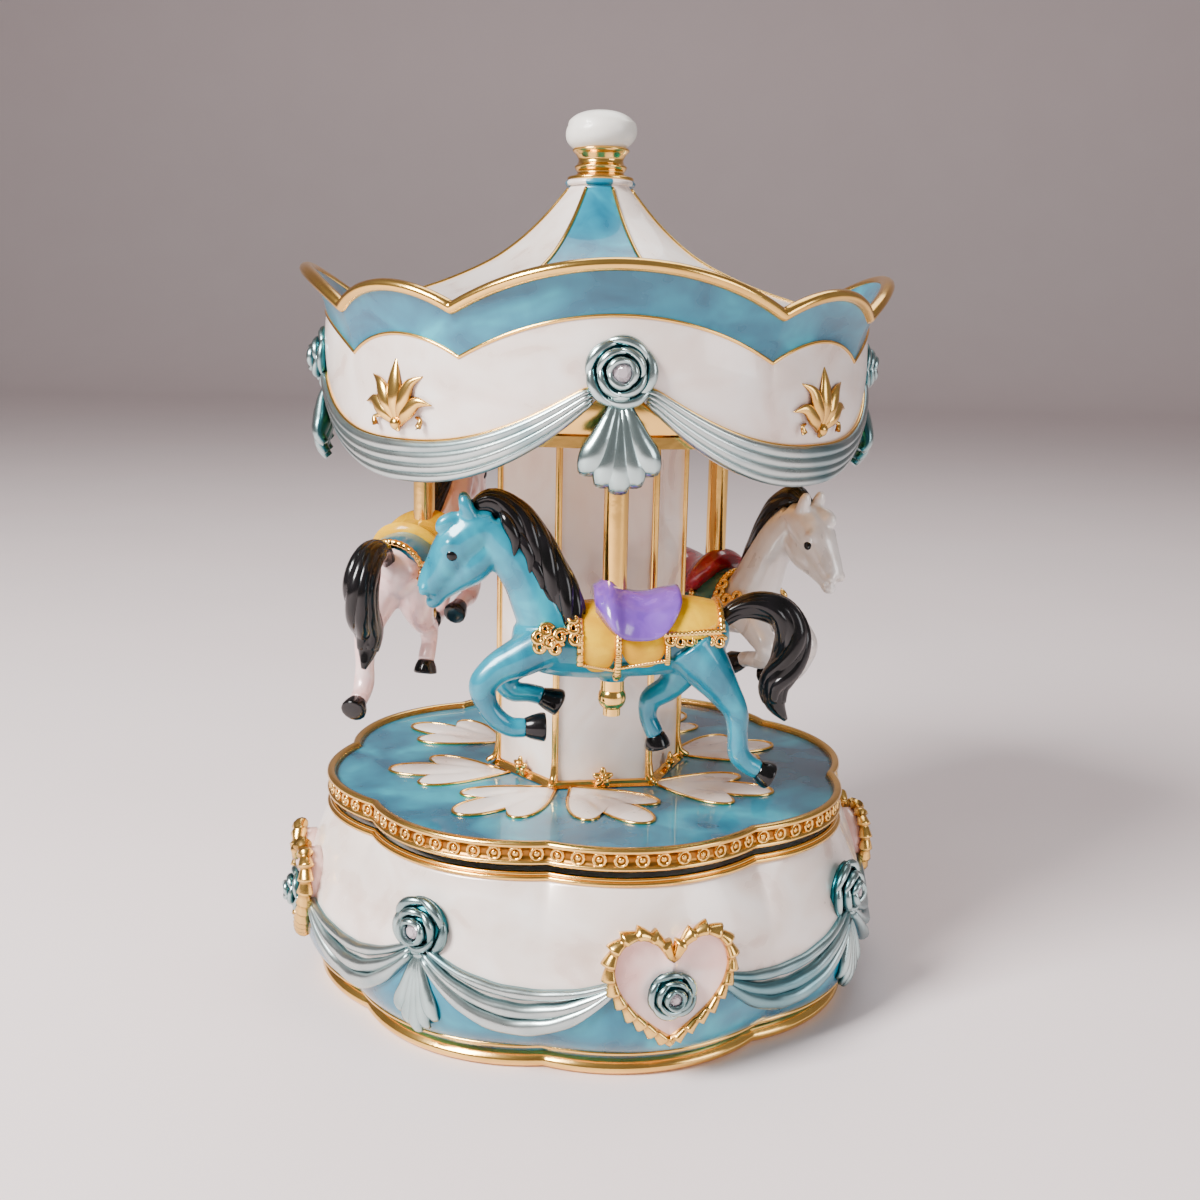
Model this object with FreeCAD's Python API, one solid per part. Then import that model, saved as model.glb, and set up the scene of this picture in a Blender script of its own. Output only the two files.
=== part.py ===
"""Carousel music box: an enamelled metal carousel that turns on a wind-up 18-note movement.

Frame: millimetres, +Z up, origin at the centre of the foot on the table.  Angles are measured
round +Z from the front (-Y), counter-clockwise seen from above, and the front is a heart of the base.
Each function makes one sub-part; export_all() writes one STEP per node.
"""
import FreeCAD
import Part
import math
import os

V = FreeCAD.Vector
UP = V(0, 0, 1)

# ---------------------------------------------------------------- driving dimensions (mm)
TOTAL_HEIGHT = 140.0
LOBES = 8                      # lobes of the base and of the platform
SIDES = 4                      # hearts, base roses, canopy roses and lilies

FOOT_HEIGHT = 2.4
BASE_TOP = 28.6                # top of the base casting's deck
DECK = 2.4                     # thickness of that deck
CAVITY_R = 39.6
BASE_SECTIONS = [              # height, radius at a lobe's middle, radius at a cusp
    (2.4, 44.2, 42.0), (5.0, 46.6, 44.6), (9.0, 48.2, 46.4), (14.0, 48.3, 46.6),
    (20.0, 47.0, 45.3), (25.0, 45.2, 43.3), (28.6, 43.7, 41.4)]
HEART_Z = 15.8
HEART_W = 19.4
ROSE_Z = 21.0                  # base roses
ORNAMENT_R = 48.0              # radius on which hearts and base roses sit

COVER_Z = 6.5                  # underside of the recessed bottom cover
COVER_T = 1.2
BOSS_R = 35.5                  # radius on which the four cover screws sit
BED_T = 2.0
BED_Y = 42.0

SHAFT_R = 2.0                  # winding arbor and output shaft
RUNNING = 0.05                 # radial clearance of a shaft in its bearing
BARREL_R = 9.5
BARREL_Z, BARREL_TOP = 10.6, 20.6
MODULE = 0.5
CROWN_TEETH, PINION_TEETH = 48, 12
CROWN_PITCH_Z = 13.4
CYL_R, CYL_START, CYL_END = 6.0, 14.6, 31.0
TRAIN_MODULE = 0.4
NOTES = 18
NOTE_PITCH = (CYL_END - CYL_START - 1.4) / (NOTES - 1)
GEAR_TEETH, GOV_PINION_TEETH, GOV_TEETH = 30, 10, 25

PLATE_Z, PLATE_TOP = 31.2, 33.6
PLATE_LOBE, PLATE_CUSP = 43.2, 40.8
RIM_Z, RIM_TOP, RIM_W = 30.8, 34.5, 0.9

COLUMN_R = 15.3                # across the corners of the hexagon, from the axis
COLUMN_WALL = 1.6
CEILING_Z, CEILING_T, CEILING_R = 90.6, 1.6, 40.1
ROD_R = 1.5

SKIRT_WALL = 1.4
SKIRT = [(84.6, 40.2), (91.0, 41.4), (98.0, 42.3), (105.0, 43.0), (109.0, 44.6), (115.2, 46.4)]
CUSP_Z, PEAK_Z = 109.0, 115.2  # gold rim of the canopy
NARROW_PEAK_Z = 112.0
CUSP_R = 45.2
WIDE_HALF = 30.3               # half the angle of a wide scallop; a narrow one takes the rest of 90 degrees
SWAG_LOW, SWAG_HIGH = 84.6, 97.5
SWAG_BAND = 5.5
ROOF = [(4.2, 129.0), (6.0, 127.2), (9.6, 123.0), (16.1, 117.6), (24.2, 113.6), (32.0, 111.0),
        (43.2, 108.4)]
ROOF_WALL = 1.2
CANOPY_ROSE_Z, CANOPY_ROSE_R = 101.0, 43.0
NECK_Z, BALL_Z, BALL_R = 129.0, 133.4, 5.5

POLE_CIRCLE, POLE_R = 29.8, 1.8
CANOPY_TURN = -10.4            # how far the turntable stands turned at rest, by its canopy
COLUMN_TURN = -5.3
HORSE_TURN = -5.7
HORSES = [("front", -2.7, 0.0), ("right", 123.0, -3.0), ("left", 247.0, 4.5)]   # name, angle, height
LEAVES = [(-8.6, -13.0, -64.0), (-6.4, -13.2, 23.0), (7.0, -13.4, 65.0), (-14.6, -4.0, -107.0),
          (-12.0, 13.0, -134.0), (-1.0, 15.6, 178.0), (10.0, 12.4, 132.0), (14.8, 1.0, 96.0)]  # x, y, heading
LEAF_LENGTH = 20.0


# ---------------------------------------------------------------- helpers
def at(radius, angle, z):
    """Point at an angle from the front, counter-clockwise seen from above."""
    a = math.radians(angle)
    return V(radius * math.sin(a), -radius * math.cos(a), z)


def turned(shape, angle):
    copy = shape.copy()
    copy.rotate(V(0, 0, 0), UP, angle)
    return copy


def around(shape, count, first=0.0):
    """Separate copies of one shape, evenly spaced round the axis."""
    return Part.makeCompound([turned(shape, first + 360.0 / count * i) for i in range(count)])


def disc(radius, z0, z1, x=0.0, y=0.0):
    return Part.makeCylinder(radius, z1 - z0, V(x, y, z0))


def revolved(points):
    """Solid of revolution about Z of a closed outline given as (radius, z) points."""
    corners = [V(r, 0, z) for r, z in points]
    wire = Part.makePolygon(corners + corners[:1])
    return Part.Face(wire).revolve(V(0, 0, 0), UP, 360)


def smooth_shell(points, wall):
    """Shell of revolution whose outside is a smooth curve through (radius, z) points."""
    outer = Part.BSplineCurve()
    outer.interpolate([V(r, 0, z) for r, z in points])
    inner = Part.BSplineCurve()
    inner.interpolate([V(max(r - wall, 0.1), 0, z) for r, z in points])
    first, last = points[0], points[-1]
    low = Part.LineSegment(V(first[0], 0, first[1]), V(first[0] - wall, 0, first[1]))
    high = Part.LineSegment(V(last[0], 0, last[1]), V(last[0] - wall, 0, last[1]))
    wire = Part.Wire(Part.__sortEdges__([c.toShape() for c in (outer, inner, low, high)]))
    return Part.Face(wire).revolve(V(0, 0, 0), UP, 360)


def lobed_wire(lobe_r, cusp_r, z):
    """Closed outline of round lobes that meet in cusps."""
    half = 180.0 / LOBES
    edges = []
    for i in range(LOBES):
        mid = 2 * half * i
        arc = Part.Arc(at(cusp_r, mid - half, z), at(lobe_r, mid, z), at(cusp_r, mid + half, z))
        edges.append(arc.toShape())
    return Part.Wire(edges)


def lobed_solid(sections):
    return Part.makeLoft([lobed_wire(lobe, cusp, z) for z, lobe, cusp in sections], True, False)


def outward(face_points, start_r, end_r):
    """Prism on the front: an outline of (x, z) points pushed out along -Y between two radii."""
    corners = [V(x, -start_r, z) for x, z in face_points]
    wire = Part.makePolygon(corners + corners[:1])
    return Part.Face(wire).extrude(V(0, start_r - end_r, 0))


def screw(head_r, head_h, shank_r, length, x, y, z):
    """Pan-head screw that points up, with a slot across the underside of its head."""
    body = disc(head_r, z, z + head_h, x, y).fuse(disc(shank_r, z + head_h, z + head_h + length, x, y))
    slot = Part.makeBox(2 * head_r, 0.5, 0.4, V(x - head_r, y - 0.25, z))
    return body.cut(slot)


def gear(teeth, module, width, bore_r):
    """Spur gear on Z from z = 0, with narrow straight-sided teeth that leave plenty of backlash."""
    pitch_r = module * teeth / 2
    root_r, tip_r = pitch_r - 1.2 * module, pitch_r + 0.8 * module
    blank = Part.makeCylinder(root_r, width)
    root_half, tip_half = 0.46 * module * math.pi / 2, 0.18 * module * math.pi / 2
    corners = [V(root_r - 0.2, -root_half, 0), V(tip_r, -tip_half, 0), V(tip_r, tip_half, 0),
               V(root_r - 0.2, root_half, 0)]
    tooth = Part.Face(Part.makePolygon(corners + corners[:1])).extrude(V(0, 0, width))
    blank = blank.fuse([turned(tooth, 360.0 / teeth * i) for i in range(teeth)])
    if bore_r:
        blank = blank.cut(Part.makeCylinder(bore_r, width))
    return blank


def along_x(shape, x, y, z):
    """Lay a shape made on Z along +X and move it."""
    copy = shape.copy()
    copy.rotate(V(0, 0, 0), V(0, 1, 0), 90)
    copy.translate(V(x, y, z))
    return copy


# ---------------------------------------------------------------- base casting and its ornaments
def base_shell():
    shell = lobed_solid(BASE_SECTIONS).cut(disc(CAVITY_R, 0, BASE_TOP - DECK))
    for i in range(SIDES):
        p = at(BOSS_R, 90 * i + 45, 0)
        post = disc(2.8, COVER_Z + COVER_T, BASE_TOP - DECK, p.x, p.y)
        rib = Part.makeBox(CAVITY_R - BOSS_R + 0.8, 2.0, BASE_TOP - DECK - COVER_Z - COVER_T,
                           V(BOSS_R, -1.0, COVER_Z + COVER_T))
        shell = shell.fuse([post, turned(rib, 90 * i + 45)])
        shell = shell.cut(disc(1.1, COVER_Z, 16.0, p.x, p.y))
    return shell.cut(disc(3.2, 20, 30)).removeSplitter()


def base_rim():
    ring = lobed_solid([(BASE_TOP, 43.5, 41.2), (29.2, 44.1, 41.8), (29.9, 43.4, 41.1)])
    return ring.cut(lobed_solid([(BASE_TOP, 41.6, 39.3), (29.9, 41.6, 39.3)]))


def base_foot():
    ring = lobed_solid([(0.0, 44.4, 42.2), (1.2, 45.3, 43.1), (FOOT_HEIGHT, 44.3, 42.1)])
    return ring.cut(disc(40.2, 0, FOOT_HEIGHT))


def heart_outline(scale):
    """Heart in the plane through the front: two round shoulders that sweep down to a point."""
    w = HEART_W / 2 * scale

    def p(x, z):
        return V(x * w, 0, HEART_Z + z * w)
    edges = [Part.Arc(p(0, 0.50), p(0.52, 0.88), p(1.0, 0.36)),
             Part.Arc(p(1.0, 0.36), p(0.70, -0.36), p(0, -0.96)),
             Part.Arc(p(0, -0.96), p(-0.70, -0.36), p(-1.0, 0.36)),
             Part.Arc(p(-1.0, 0.36), p(-0.52, 0.88), p(0, 0.50))]
    return Part.Face(Part.Wire([e.toShape() for e in edges]))


def heart_prism(scale, start_r, end_r):
    face = heart_outline(scale)
    face.translate(V(0, -start_r, 0))
    return face.extrude(V(0, start_r - end_r, 0))


def heart_frames():
    frame = heart_prism(1.0, 45.6, ORNAMENT_R + 1.9).cut(heart_prism(0.80, 45.0, ORNAMENT_R + 3))
    return around(frame, SIDES)


def heart_plates():
    return around(heart_prism(0.80, 45.6, ORNAMENT_R + 0.7), SIDES)


def rose(radius, radial, z):
    """Rose on the front: a heart of petals inside a ring of five."""
    centre = Part.makeSphere(0.62 * radius, V(0, -radial - 0.25 * radius, z))
    petals = []
    for i in range(5):
        a = math.radians(72 * i + 90)
        petals.append(Part.makeSphere(0.46 * radius, V(0.55 * radius * math.cos(a), -radial,
                                                      z + 0.55 * radius * math.sin(a))))
    return centre.fuse(petals)


def crystal(radial, z):
    return Part.makeCone(1.2, 0.7, 0.8, V(0, -radial, z), V(0, -1, 0))


def tassel(radial, top, bottom, width):
    """Knotted ribbon tail: it hangs from a narrow knot and spreads in two pleats."""
    half = width / 2
    outline = [(-0.2 * half, top), (0.2 * half, top), (half, bottom + 2.0), (0.35 * half, bottom),
               (0, bottom + 1.6), (-0.35 * half, bottom), (-half, bottom + 2.0)]
    return outward(outline, radial - 1.6, radial + 1.3)


def base_swag():
    """One drape: the lower part of a ring, hung between a rose and a heart."""
    distance, centre_z, major, minor = 46.3, 21.5, 10.6, 1.7
    ring = Part.makeTorus(major, minor, V(0, -distance, centre_z), V(0, 1, 0))
    keep = Part.makeBox(40, 10, 14, V(-20, -distance - 5, centre_z - 14 - 2.5))
    return ring.common(keep)


# ---------------------------------------------------------------- bottom cover and movement
def bottom_cover():
    plate = disc(CAVITY_R - 0.3, COVER_Z, COVER_Z + COVER_T).cut(disc(4.0, COVER_Z, COVER_Z + COVER_T))
    for i in range(SIDES):
        p = at(BOSS_R, 90 * i + 45, 0)
        plate = plate.cut(disc(1.25, COVER_Z, COVER_Z + COVER_T, p.x, p.y))
    for x, y in corners(20.0, 17.0):
        plate = plate.cut(disc(1.15, COVER_Z, COVER_Z + COVER_T, x, y))
    return plate


def corners(x, y):
    return [(x, y), (-x, y), (-x, -y), (x, -y)]


def cover_screws():
    spots = [at(BOSS_R, 90 * i + 45, 0) for i in range(SIDES)]
    return Part.makeCompound([screw(2.2, 1.2, 1.05, 8.0, p.x, p.y, COVER_Z - 1.2) for p in spots])


def movement_screws():
    return Part.makeCompound([screw(1.9, 1.0, 0.95, COVER_T + BED_T, x, y, COVER_Z - 1.0)
                              for x, y in corners(20.0, 17.0)])


AXLE_Z = CROWN_PITCH_Z + MODULE * PINION_TEETH / 2


def spring_barrel():
    """Cup for the mainspring with a crown wheel round its foot; it turns with the carousel."""
    cup = disc(BARREL_R, BARREL_Z, BARREL_TOP)
    flange = disc(13.25, CROWN_PITCH_Z - 1.8, CROWN_PITCH_Z - 0.6)
    pitch_r = MODULE * CROWN_TEETH / 2
    root_half, tip_half = 0.46 * MODULE * math.pi / 2, 0.18 * MODULE * math.pi / 2
    low, high = CROWN_PITCH_Z - 0.8, CROWN_PITCH_Z + 0.8 * MODULE
    outline = [V(pitch_r - 1.2, -root_half, low), V(pitch_r - 1.2, -tip_half, high),
               V(pitch_r - 1.2, tip_half, high), V(pitch_r - 1.2, root_half, low)]
    tooth = Part.Face(Part.makePolygon(outline + outline[:1])).extrude(V(2.4, 0, 0))
    step = 360.0 / CROWN_TEETH
    cup = cup.fuse([flange] + [turned(tooth, step * (i + 0.5)) for i in range(CROWN_TEETH)])
    cup = cup.cut(disc(BARREL_R - 0.8, BARREL_Z + 0.8, BARREL_TOP - 0.8))
    return cup.cut(disc(SHAFT_R + RUNNING, BARREL_Z, BARREL_Z + 0.8))


def mainspring():
    """Strip wound in an even spiral, inside the barrel and clear of the arbor."""
    inner, outer, turns, per_turn, thick, height = 3.3, 8.3, 5, 12, 0.35, 7.6
    sides = []
    for offset in (-thick / 2, thick / 2):
        curve = Part.BSplineCurve()
        points = []
        for i in range(turns * per_turn + 1):
            r = inner + (outer - inner) * i / (turns * per_turn) + offset
            points.append(at(r, 360.0 * i / per_turn, BARREL_Z + 1.2))
        curve.interpolate(points)
        sides.append(curve)
    ends = [Part.LineSegment(sides[0].StartPoint, sides[1].StartPoint),
            Part.LineSegment(sides[0].EndPoint, sides[1].EndPoint)]
    wire = Part.Wire(Part.__sortEdges__([c.toShape() for c in sides + ends]))
    return Part.Face(wire).extrude(V(0, 0, height))


def output_shaft():
    shaft = disc(SHAFT_R, BARREL_TOP, 30.4)
    return shaft.fuse(disc(6.0, 30.4, PLATE_Z))


def output_bush():
    flange = disc(4.6, BASE_TOP - DECK - 1.2, BASE_TOP - DECK)
    sleeve = disc(3.2, BASE_TOP - DECK - 0.6, BASE_TOP)
    return sleeve.fuse(flange).cut(disc(SHAFT_R + RUNNING, 20, 30))


def thrust_washer():
    return disc(5.6, BASE_TOP, 30.35).cut(disc(SHAFT_R + 0.3, BASE_TOP, 30.35))


def winding_arbor():
    body = disc(SHAFT_R, 4.6, BARREL_TOP - 1.2)
    hook = Part.makeBox(0.9, 1.0, 4.0, V(SHAFT_R - 0.3, -0.5, 13.5))
    square = Part.makeBox(2.6, 2.6, 3.0, V(-1.3, -1.3, 2.0))
    return body.fuse([hook, square])


def winding_key():
    """Flat butterfly key: a squared hub and two wings with finger holes, inside the recess."""
    hub = disc(3.4, 1.6, 4.6)
    wings = [disc(4.6, 1.9, 3.5, x, 0) for x in (-7.2, 7.2)]
    key = hub.fuse(wings + [Part.makeBox(14.4, 4.4, 1.6, V(-7.2, -2.2, 1.9))])
    key = key.cut(Part.makeCompound([disc(2.2, 1.0, 5.0, x, 0) for x in (-7.6, 7.6)]))
    return key.cut(Part.makeBox(2.66, 2.66, 5.0, V(-1.33, -1.33, 0.5)))


def pin_cylinder():
    """Brass drum with rows of pins; one row per note of the comb, spaced along its axis."""
    drum = Part.makeCylinder(CYL_R, CYL_END - CYL_START)
    pins = []
    for i in range(NOTES):
        for k in range(2):
            a = math.radians(57 * i + 170 * k)
            out = V(math.cos(a), math.sin(a), 0)
            foot = out * (CYL_R - 0.2) + V(0, 0, 0.7 + NOTE_PITCH * i)
            pins.append(Part.makeCylinder(0.14, 0.6, foot, out))
    drum = drum.fuse(pins).cut(Part.makeCylinder(1.0, CYL_END - CYL_START))
    return along_x(drum, CYL_START, 0, AXLE_Z)


def cylinder_shaft():
    """Axle with the pinion that the crown wheel drives and the gear that drives the governor."""
    pinion = gear(PINION_TEETH, MODULE, 2.2, 0)
    axle = Part.makeCylinder(1.0, 25.4)
    stop = Part.makeCylinder(2.2, 1.5, V(0, 0, 2.2))
    driver = gear(GEAR_TEETH, TRAIN_MODULE, 1.0, 0)
    driver.translate(V(0, 0, 23.0))
    return along_x(pinion.fuse([axle, stop, driver]), 10.9, 0, AXLE_Z)


TRAIN_Y = TRAIN_MODULE * (GEAR_TEETH + GOV_PINION_TEETH) / 2 + 0.05
FLY_X, FLY_Y = 31.9, TRAIN_Y + TRAIN_MODULE * GOV_TEETH / 2 + 1.5
BED_TOP = COVER_Z + COVER_T + BED_T
COMB_SCREWS_X = (18.0, 22.8, 27.6)
COMB_SCREWS_Y = -18.6


def governor_wheel():
    """Arbor with a small pinion and the wheel that spins the fly."""
    pinion = gear(GOV_PINION_TEETH, TRAIN_MODULE, 1.4, 0)
    pinion.rotate(V(0, 0, 0), UP, 180.0 / GOV_PINION_TEETH)
    wheel = gear(GOV_TEETH, TRAIN_MODULE, 0.8, 0)
    wheel.translate(V(0, 0, -2.2))
    arbor = Part.makeCylinder(0.6, 6.4, V(0, 0, -3.7))
    return along_x(pinion.fuse([wheel, arbor]), 33.7, TRAIN_Y, AXLE_Z)


def governor_fly():
    """Upright worm shaft with the two wings of the air brake."""
    shaft = disc(0.9, AXLE_Z - 5.2, AXLE_Z + 5.0, FLY_X, FLY_Y)
    pivots = disc(0.5, AXLE_Z - 6.2, AXLE_Z + 7.7, FLY_X, FLY_Y)
    wing = Part.makeBox(5.2, 0.4, 1.4, V(FLY_X - 2.6, FLY_Y - 0.2, AXLE_Z + 5.2))
    return shaft.fuse([pivots, wing])


def bedplate():
    """Cast plate with the inner bearing of the cylinder, the governor's post and the comb's riser."""
    z = COVER_Z + COVER_T
    plate = Part.makeBox(63.0, BED_Y, BED_T, V(-26.0, -BED_Y / 2, z)).common(disc(38.6, z, BED_TOP))
    for x, y in corners(20.0, 17.0):
        plate = plate.cut(disc(1.0, z, BED_TOP, x, y))
    plate = plate.cut(disc(SHAFT_R + RUNNING, z, BED_TOP))
    bearing = Part.makeBox(0.8, 6.0, AXLE_Z + 2.9 - BED_TOP, V(13.6, -3.0, BED_TOP))
    bearing = bearing.cut(Part.makeCylinder(2.2 + RUNNING, 3, V(13, 0, AXLE_Z), V(1, 0, 0)))
    post = Part.makeBox(0.9, 2.4, AXLE_Z + 1.4 - BED_TOP, V(30.1, TRAIN_Y - 0.95, BED_TOP))
    post = post.cut(Part.makeCylinder(0.6 + RUNNING, 3, V(29, TRAIN_Y, AXLE_Z), V(1, 0, 0)))
    riser = Part.makeBox(16.4, 4.4, AXLE_Z - 0.4 - BED_TOP, V(14.6, -20.8, BED_TOP))
    for x in COMB_SCREWS_X:
        riser = riser.cut(disc(0.8, AXLE_Z - 4.0, AXLE_Z, x, COMB_SCREWS_Y))
    return plate.fuse([bearing, post, riser])


def comb():
    """Steel comb of 18 tongues whose tips stop just short of the pins."""
    plate = Part.makeBox(16.0, 14.0, 0.8, V(14.8, -20.8, AXLE_Z - 0.4))
    first = CYL_START + 0.7 + NOTE_PITCH / 2 - 0.15
    slots = [Part.makeBox(0.3, 9.4, 0.8, V(first + NOTE_PITCH * i, -16.0, AXLE_Z - 0.4))
             for i in range(NOTES - 1)]
    holes = [disc(0.85, AXLE_Z - 1, AXLE_Z + 1, x, COMB_SCREWS_Y) for x in COMB_SCREWS_X]
    return plate.cut(slots + holes)


def comb_screws():
    screws = []
    for x in COMB_SCREWS_X:
        one = screw(1.5, 1.0, 0.75, 4.0, 0, 0, 0)
        one.rotate(V(0, 0, 0), V(1, 0, 0), 180)
        one.translate(V(x, COMB_SCREWS_Y, AXLE_Z + 1.4))
        screws.append(one)
    return Part.makeCompound(screws)


def governor_frame():
    """Upright plate with the outer bearings and two arms that hold the fly's pivots."""
    plate = Part.makeBox(0.8, 18.6, AXLE_Z + 8.0 - BED_TOP, V(35.3, -3.0, BED_TOP))
    plate = plate.common(disc(38.9, 0, 40))
    arms = [Part.makeBox(5.4, 2.4, 0.8, V(30.7, FLY_Y - 1.2, z)) for z in (AXLE_Z - 6.4, AXLE_Z + 7.1)]
    frame = plate.fuse(arms)
    frame = frame.cut(Part.makeCylinder(1.0 + RUNNING, 4, V(34, 0, AXLE_Z), V(1, 0, 0)))
    frame = frame.cut(Part.makeCylinder(0.6 + RUNNING, 4, V(34, TRAIN_Y, AXLE_Z), V(1, 0, 0)))
    return frame.cut(disc(0.5 + RUNNING, 0, 40, FLY_X, FLY_Y))


# ---------------------------------------------------------------- turntable: platform and column
def platform_plate():
    lobe, cusp = PLATE_LOBE - 0.05, PLATE_CUSP - 0.05
    plate = lobed_solid([(PLATE_Z, lobe, cusp), (PLATE_TOP, lobe, cusp)])
    return plate.cut(disc(ROD_R + 0.05, PLATE_Z, PLATE_TOP))


def platform_rim():
    """Gold band round the platform, rounded over at its top and bottom."""
    lobe, cusp = PLATE_LOBE + RIM_W, PLATE_CUSP + RIM_W
    outer = lobed_solid([(RIM_Z, lobe - 0.4, cusp - 0.4), (RIM_Z + 0.5, lobe, cusp),
                         (RIM_TOP - 0.5, lobe, cusp), (RIM_TOP, lobe - 0.4, cusp - 0.4)])
    return outer.cut(lobed_solid([(RIM_Z, PLATE_LOBE, PLATE_CUSP), (RIM_TOP, PLATE_LOBE, PLATE_CUSP)]))


def petals():
    """Eight three-lobed enamelled leaves laid flat on the platform, each with its point at the column."""
    thick = 0.35
    leaves = []
    tip = Part.makeCylinder(4.6, thick, V(0, 4.8 - LEAF_LENGTH, 0))
    side = [Part.makeCylinder(3.4, thick, V(x, 9.2 - LEAF_LENGTH, 0)) for x in (-5.0, 5.0)]
    outline = [V(-7.4, 8.6 - LEAF_LENGTH, 0), V(7.4, 8.6 - LEAF_LENGTH, 0), V(0.8, -2.0, 0), V(-0.8, -2.0, 0)]
    root = Part.Face(Part.makePolygon(outline + outline[:1])).extrude(V(0, 0, thick))
    leaf = tip.fuse(side + [root]).removeSplitter()
    for x, y, heading in LEAVES:
        one = turned(leaf, heading)
        one.translate(V(x, y, PLATE_TOP))
        leaves.append(one.cut(hexagon(COLUMN_R + 2.45, PLATE_TOP, PLATE_TOP + 1)))
    return Part.makeCompound(leaves)


def column_corner(i, radius, z=0.0):
    return at(radius, COLUMN_TURN + 30 + 60 * i, z)


def hexagon(radius, z0, z1):
    outline = [column_corner(i, radius, z0) for i in range(7)]
    return Part.Face(Part.makePolygon(outline)).extrude(V(0, 0, z1 - z0))


def column():
    shell = hexagon(COLUMN_R, PLATE_TOP, CEILING_Z)
    return shell.cut(hexagon(COLUMN_R - COLUMN_WALL, PLATE_TOP, CEILING_Z))


def column_wires():
    """Gold wires down the six corners of the column."""
    spots = [column_corner(i, COLUMN_R + 0.1) for i in range(6)]
    core = hexagon(COLUMN_R, PLATE_TOP, CEILING_Z)
    return Part.makeCompound([disc(0.55, PLATE_TOP, CEILING_Z, p.x, p.y).cut(core) for p in spots])


def column_foot():
    """Gold moulding that flares from the column onto the platform."""
    rings = [(COLUMN_R + 2.4, PLATE_TOP), (COLUMN_R + 1.4, PLATE_TOP + 1.0),
             (COLUMN_R + 1.0, PLATE_TOP + 2.6)]
    outlines = [Part.makePolygon([column_corner(i, r, z) for i in range(7)]) for r, z in rings]
    flare = Part.makeLoft(outlines, True, True)
    spots = [column_corner(i, COLUMN_R + 0.1) for i in range(6)]
    wires = [disc(0.6, PLATE_TOP, PLATE_TOP + 3, p.x, p.y) for p in spots]
    return flare.cut([hexagon(COLUMN_R + 0.02, PLATE_TOP, PLATE_TOP + 3)] + wires)


def tie_rod():
    return disc(ROD_R, PLATE_Z, BALL_Z + 2.6)


def tie_rod_nut():
    z = CEILING_Z + CEILING_T
    nut = Part.Face(Part.makePolygon([at(3.2, 60 * i, z) for i in range(7)])).extrude(V(0, 0, 2.4))
    return nut.cut(disc(ROD_R + 0.03, z, z + 3))


# ---------------------------------------------------------------- turntable: canopy
def pole_places():
    return [at(POLE_CIRCLE, HORSE_TURN + angle, 0) for name, angle, lift in HORSES]


def canopy_ceiling():
    plate = disc(CEILING_R, CEILING_Z, CEILING_Z + CEILING_T)
    collar = disc(20.5, CEILING_Z - 1.6, CEILING_Z).cut(hexagon(COLUMN_R + 0.75, CEILING_Z - 2, CEILING_Z))
    holes = [disc(POLE_R + 0.03, 80, 100, p.x, p.y) for p in pole_places()]
    return plate.fuse(collar).cut(holes + [disc(ROD_R + 0.05, 80, 100)])


def scallop_cutter(half_angle, middle, peak):
    """Prism above one scallop of the rim, pointing out at its middle."""
    x = CUSP_R * math.sin(math.radians(half_angle))
    arch = Part.Arc(V(-x, -25, CUSP_Z), V(0, -25, peak), V(x, -25, CUSP_Z)).toShape()
    wide = x + 2.0
    sides = Part.makePolygon([V(x, -25, CUSP_Z), V(wide, -25, 125), V(-wide, -25, 125), V(-x, -25, CUSP_Z)])
    face = Part.Face(Part.Wire([arch] + sides.Edges))
    return turned(face.extrude(V(0, -40, 0)), middle)


def drape_cutters(lift):
    """Everything under the hanging edge of the skirt, as four prisms that meet under the lilies."""
    x = 40.2 * math.sin(math.radians(45)) + 2
    low, high = SWAG_LOW + lift, SWAG_HIGH + lift
    bend = low + 0.36 * (high - low)
    left = Part.Arc(V(-x, -20, low), V(-x * 0.42, -20, bend), V(-3.0, -20, high))
    right = Part.Arc(V(3.0, -20, high), V(x * 0.42, -20, bend), V(x, -20, low))
    top = Part.makePolygon([V(-3.0, -20, high), V(3.0, -20, high)])
    rest = Part.makePolygon([V(x, -20, low), V(x, -20, 60), V(-x, -20, 60), V(-x, -20, low)])
    face = Part.Face(Part.Wire([left.toShape()] + top.Edges + [right.toShape()] + rest.Edges))
    wedge = Part.Face(Part.makePolygon([V(0, 0, 50), V(70, -70, 50), V(-70, -70, 50), V(0, 0, 50)]))
    prism = face.extrude(V(0, -40, 0)).common(wedge.extrude(V(0, 0, 60)))
    return [turned(prism, 90 * i) for i in range(SIDES)]


def canopy_skirt():
    skirt = smooth_shell([(r, z) for z, r in SKIRT], SKIRT_WALL)
    cutters = drape_cutters(0)
    for i in range(SIDES):
        cutters.append(scallop_cutter(WIDE_HALF, 90 * i, PEAK_Z - 0.1))
        cutters.append(scallop_cutter(45 - WIDE_HALF, 90 * i + 45, NARROW_PEAK_Z))
    return turned(skirt.cut(cutters), CANOPY_TURN)


def canopy_swags():
    """Draped folds along the hanging edge, between one rose and the next."""
    folds = smooth_shell([(r + 1.2, z) for z, r in SKIRT[:4]], 1.2).cut(drape_cutters(0))
    limit = drape_cutters(SWAG_BAND)
    band = folds.common(limit[0].fuse(limit[1:]))
    gaps = [turned(Part.makeBox(6.4, 60, 40, V(-3.2, -60, 75)), 90 * i) for i in range(SIDES)]
    return turned(band.cut(gaps), CANOPY_TURN)


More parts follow.
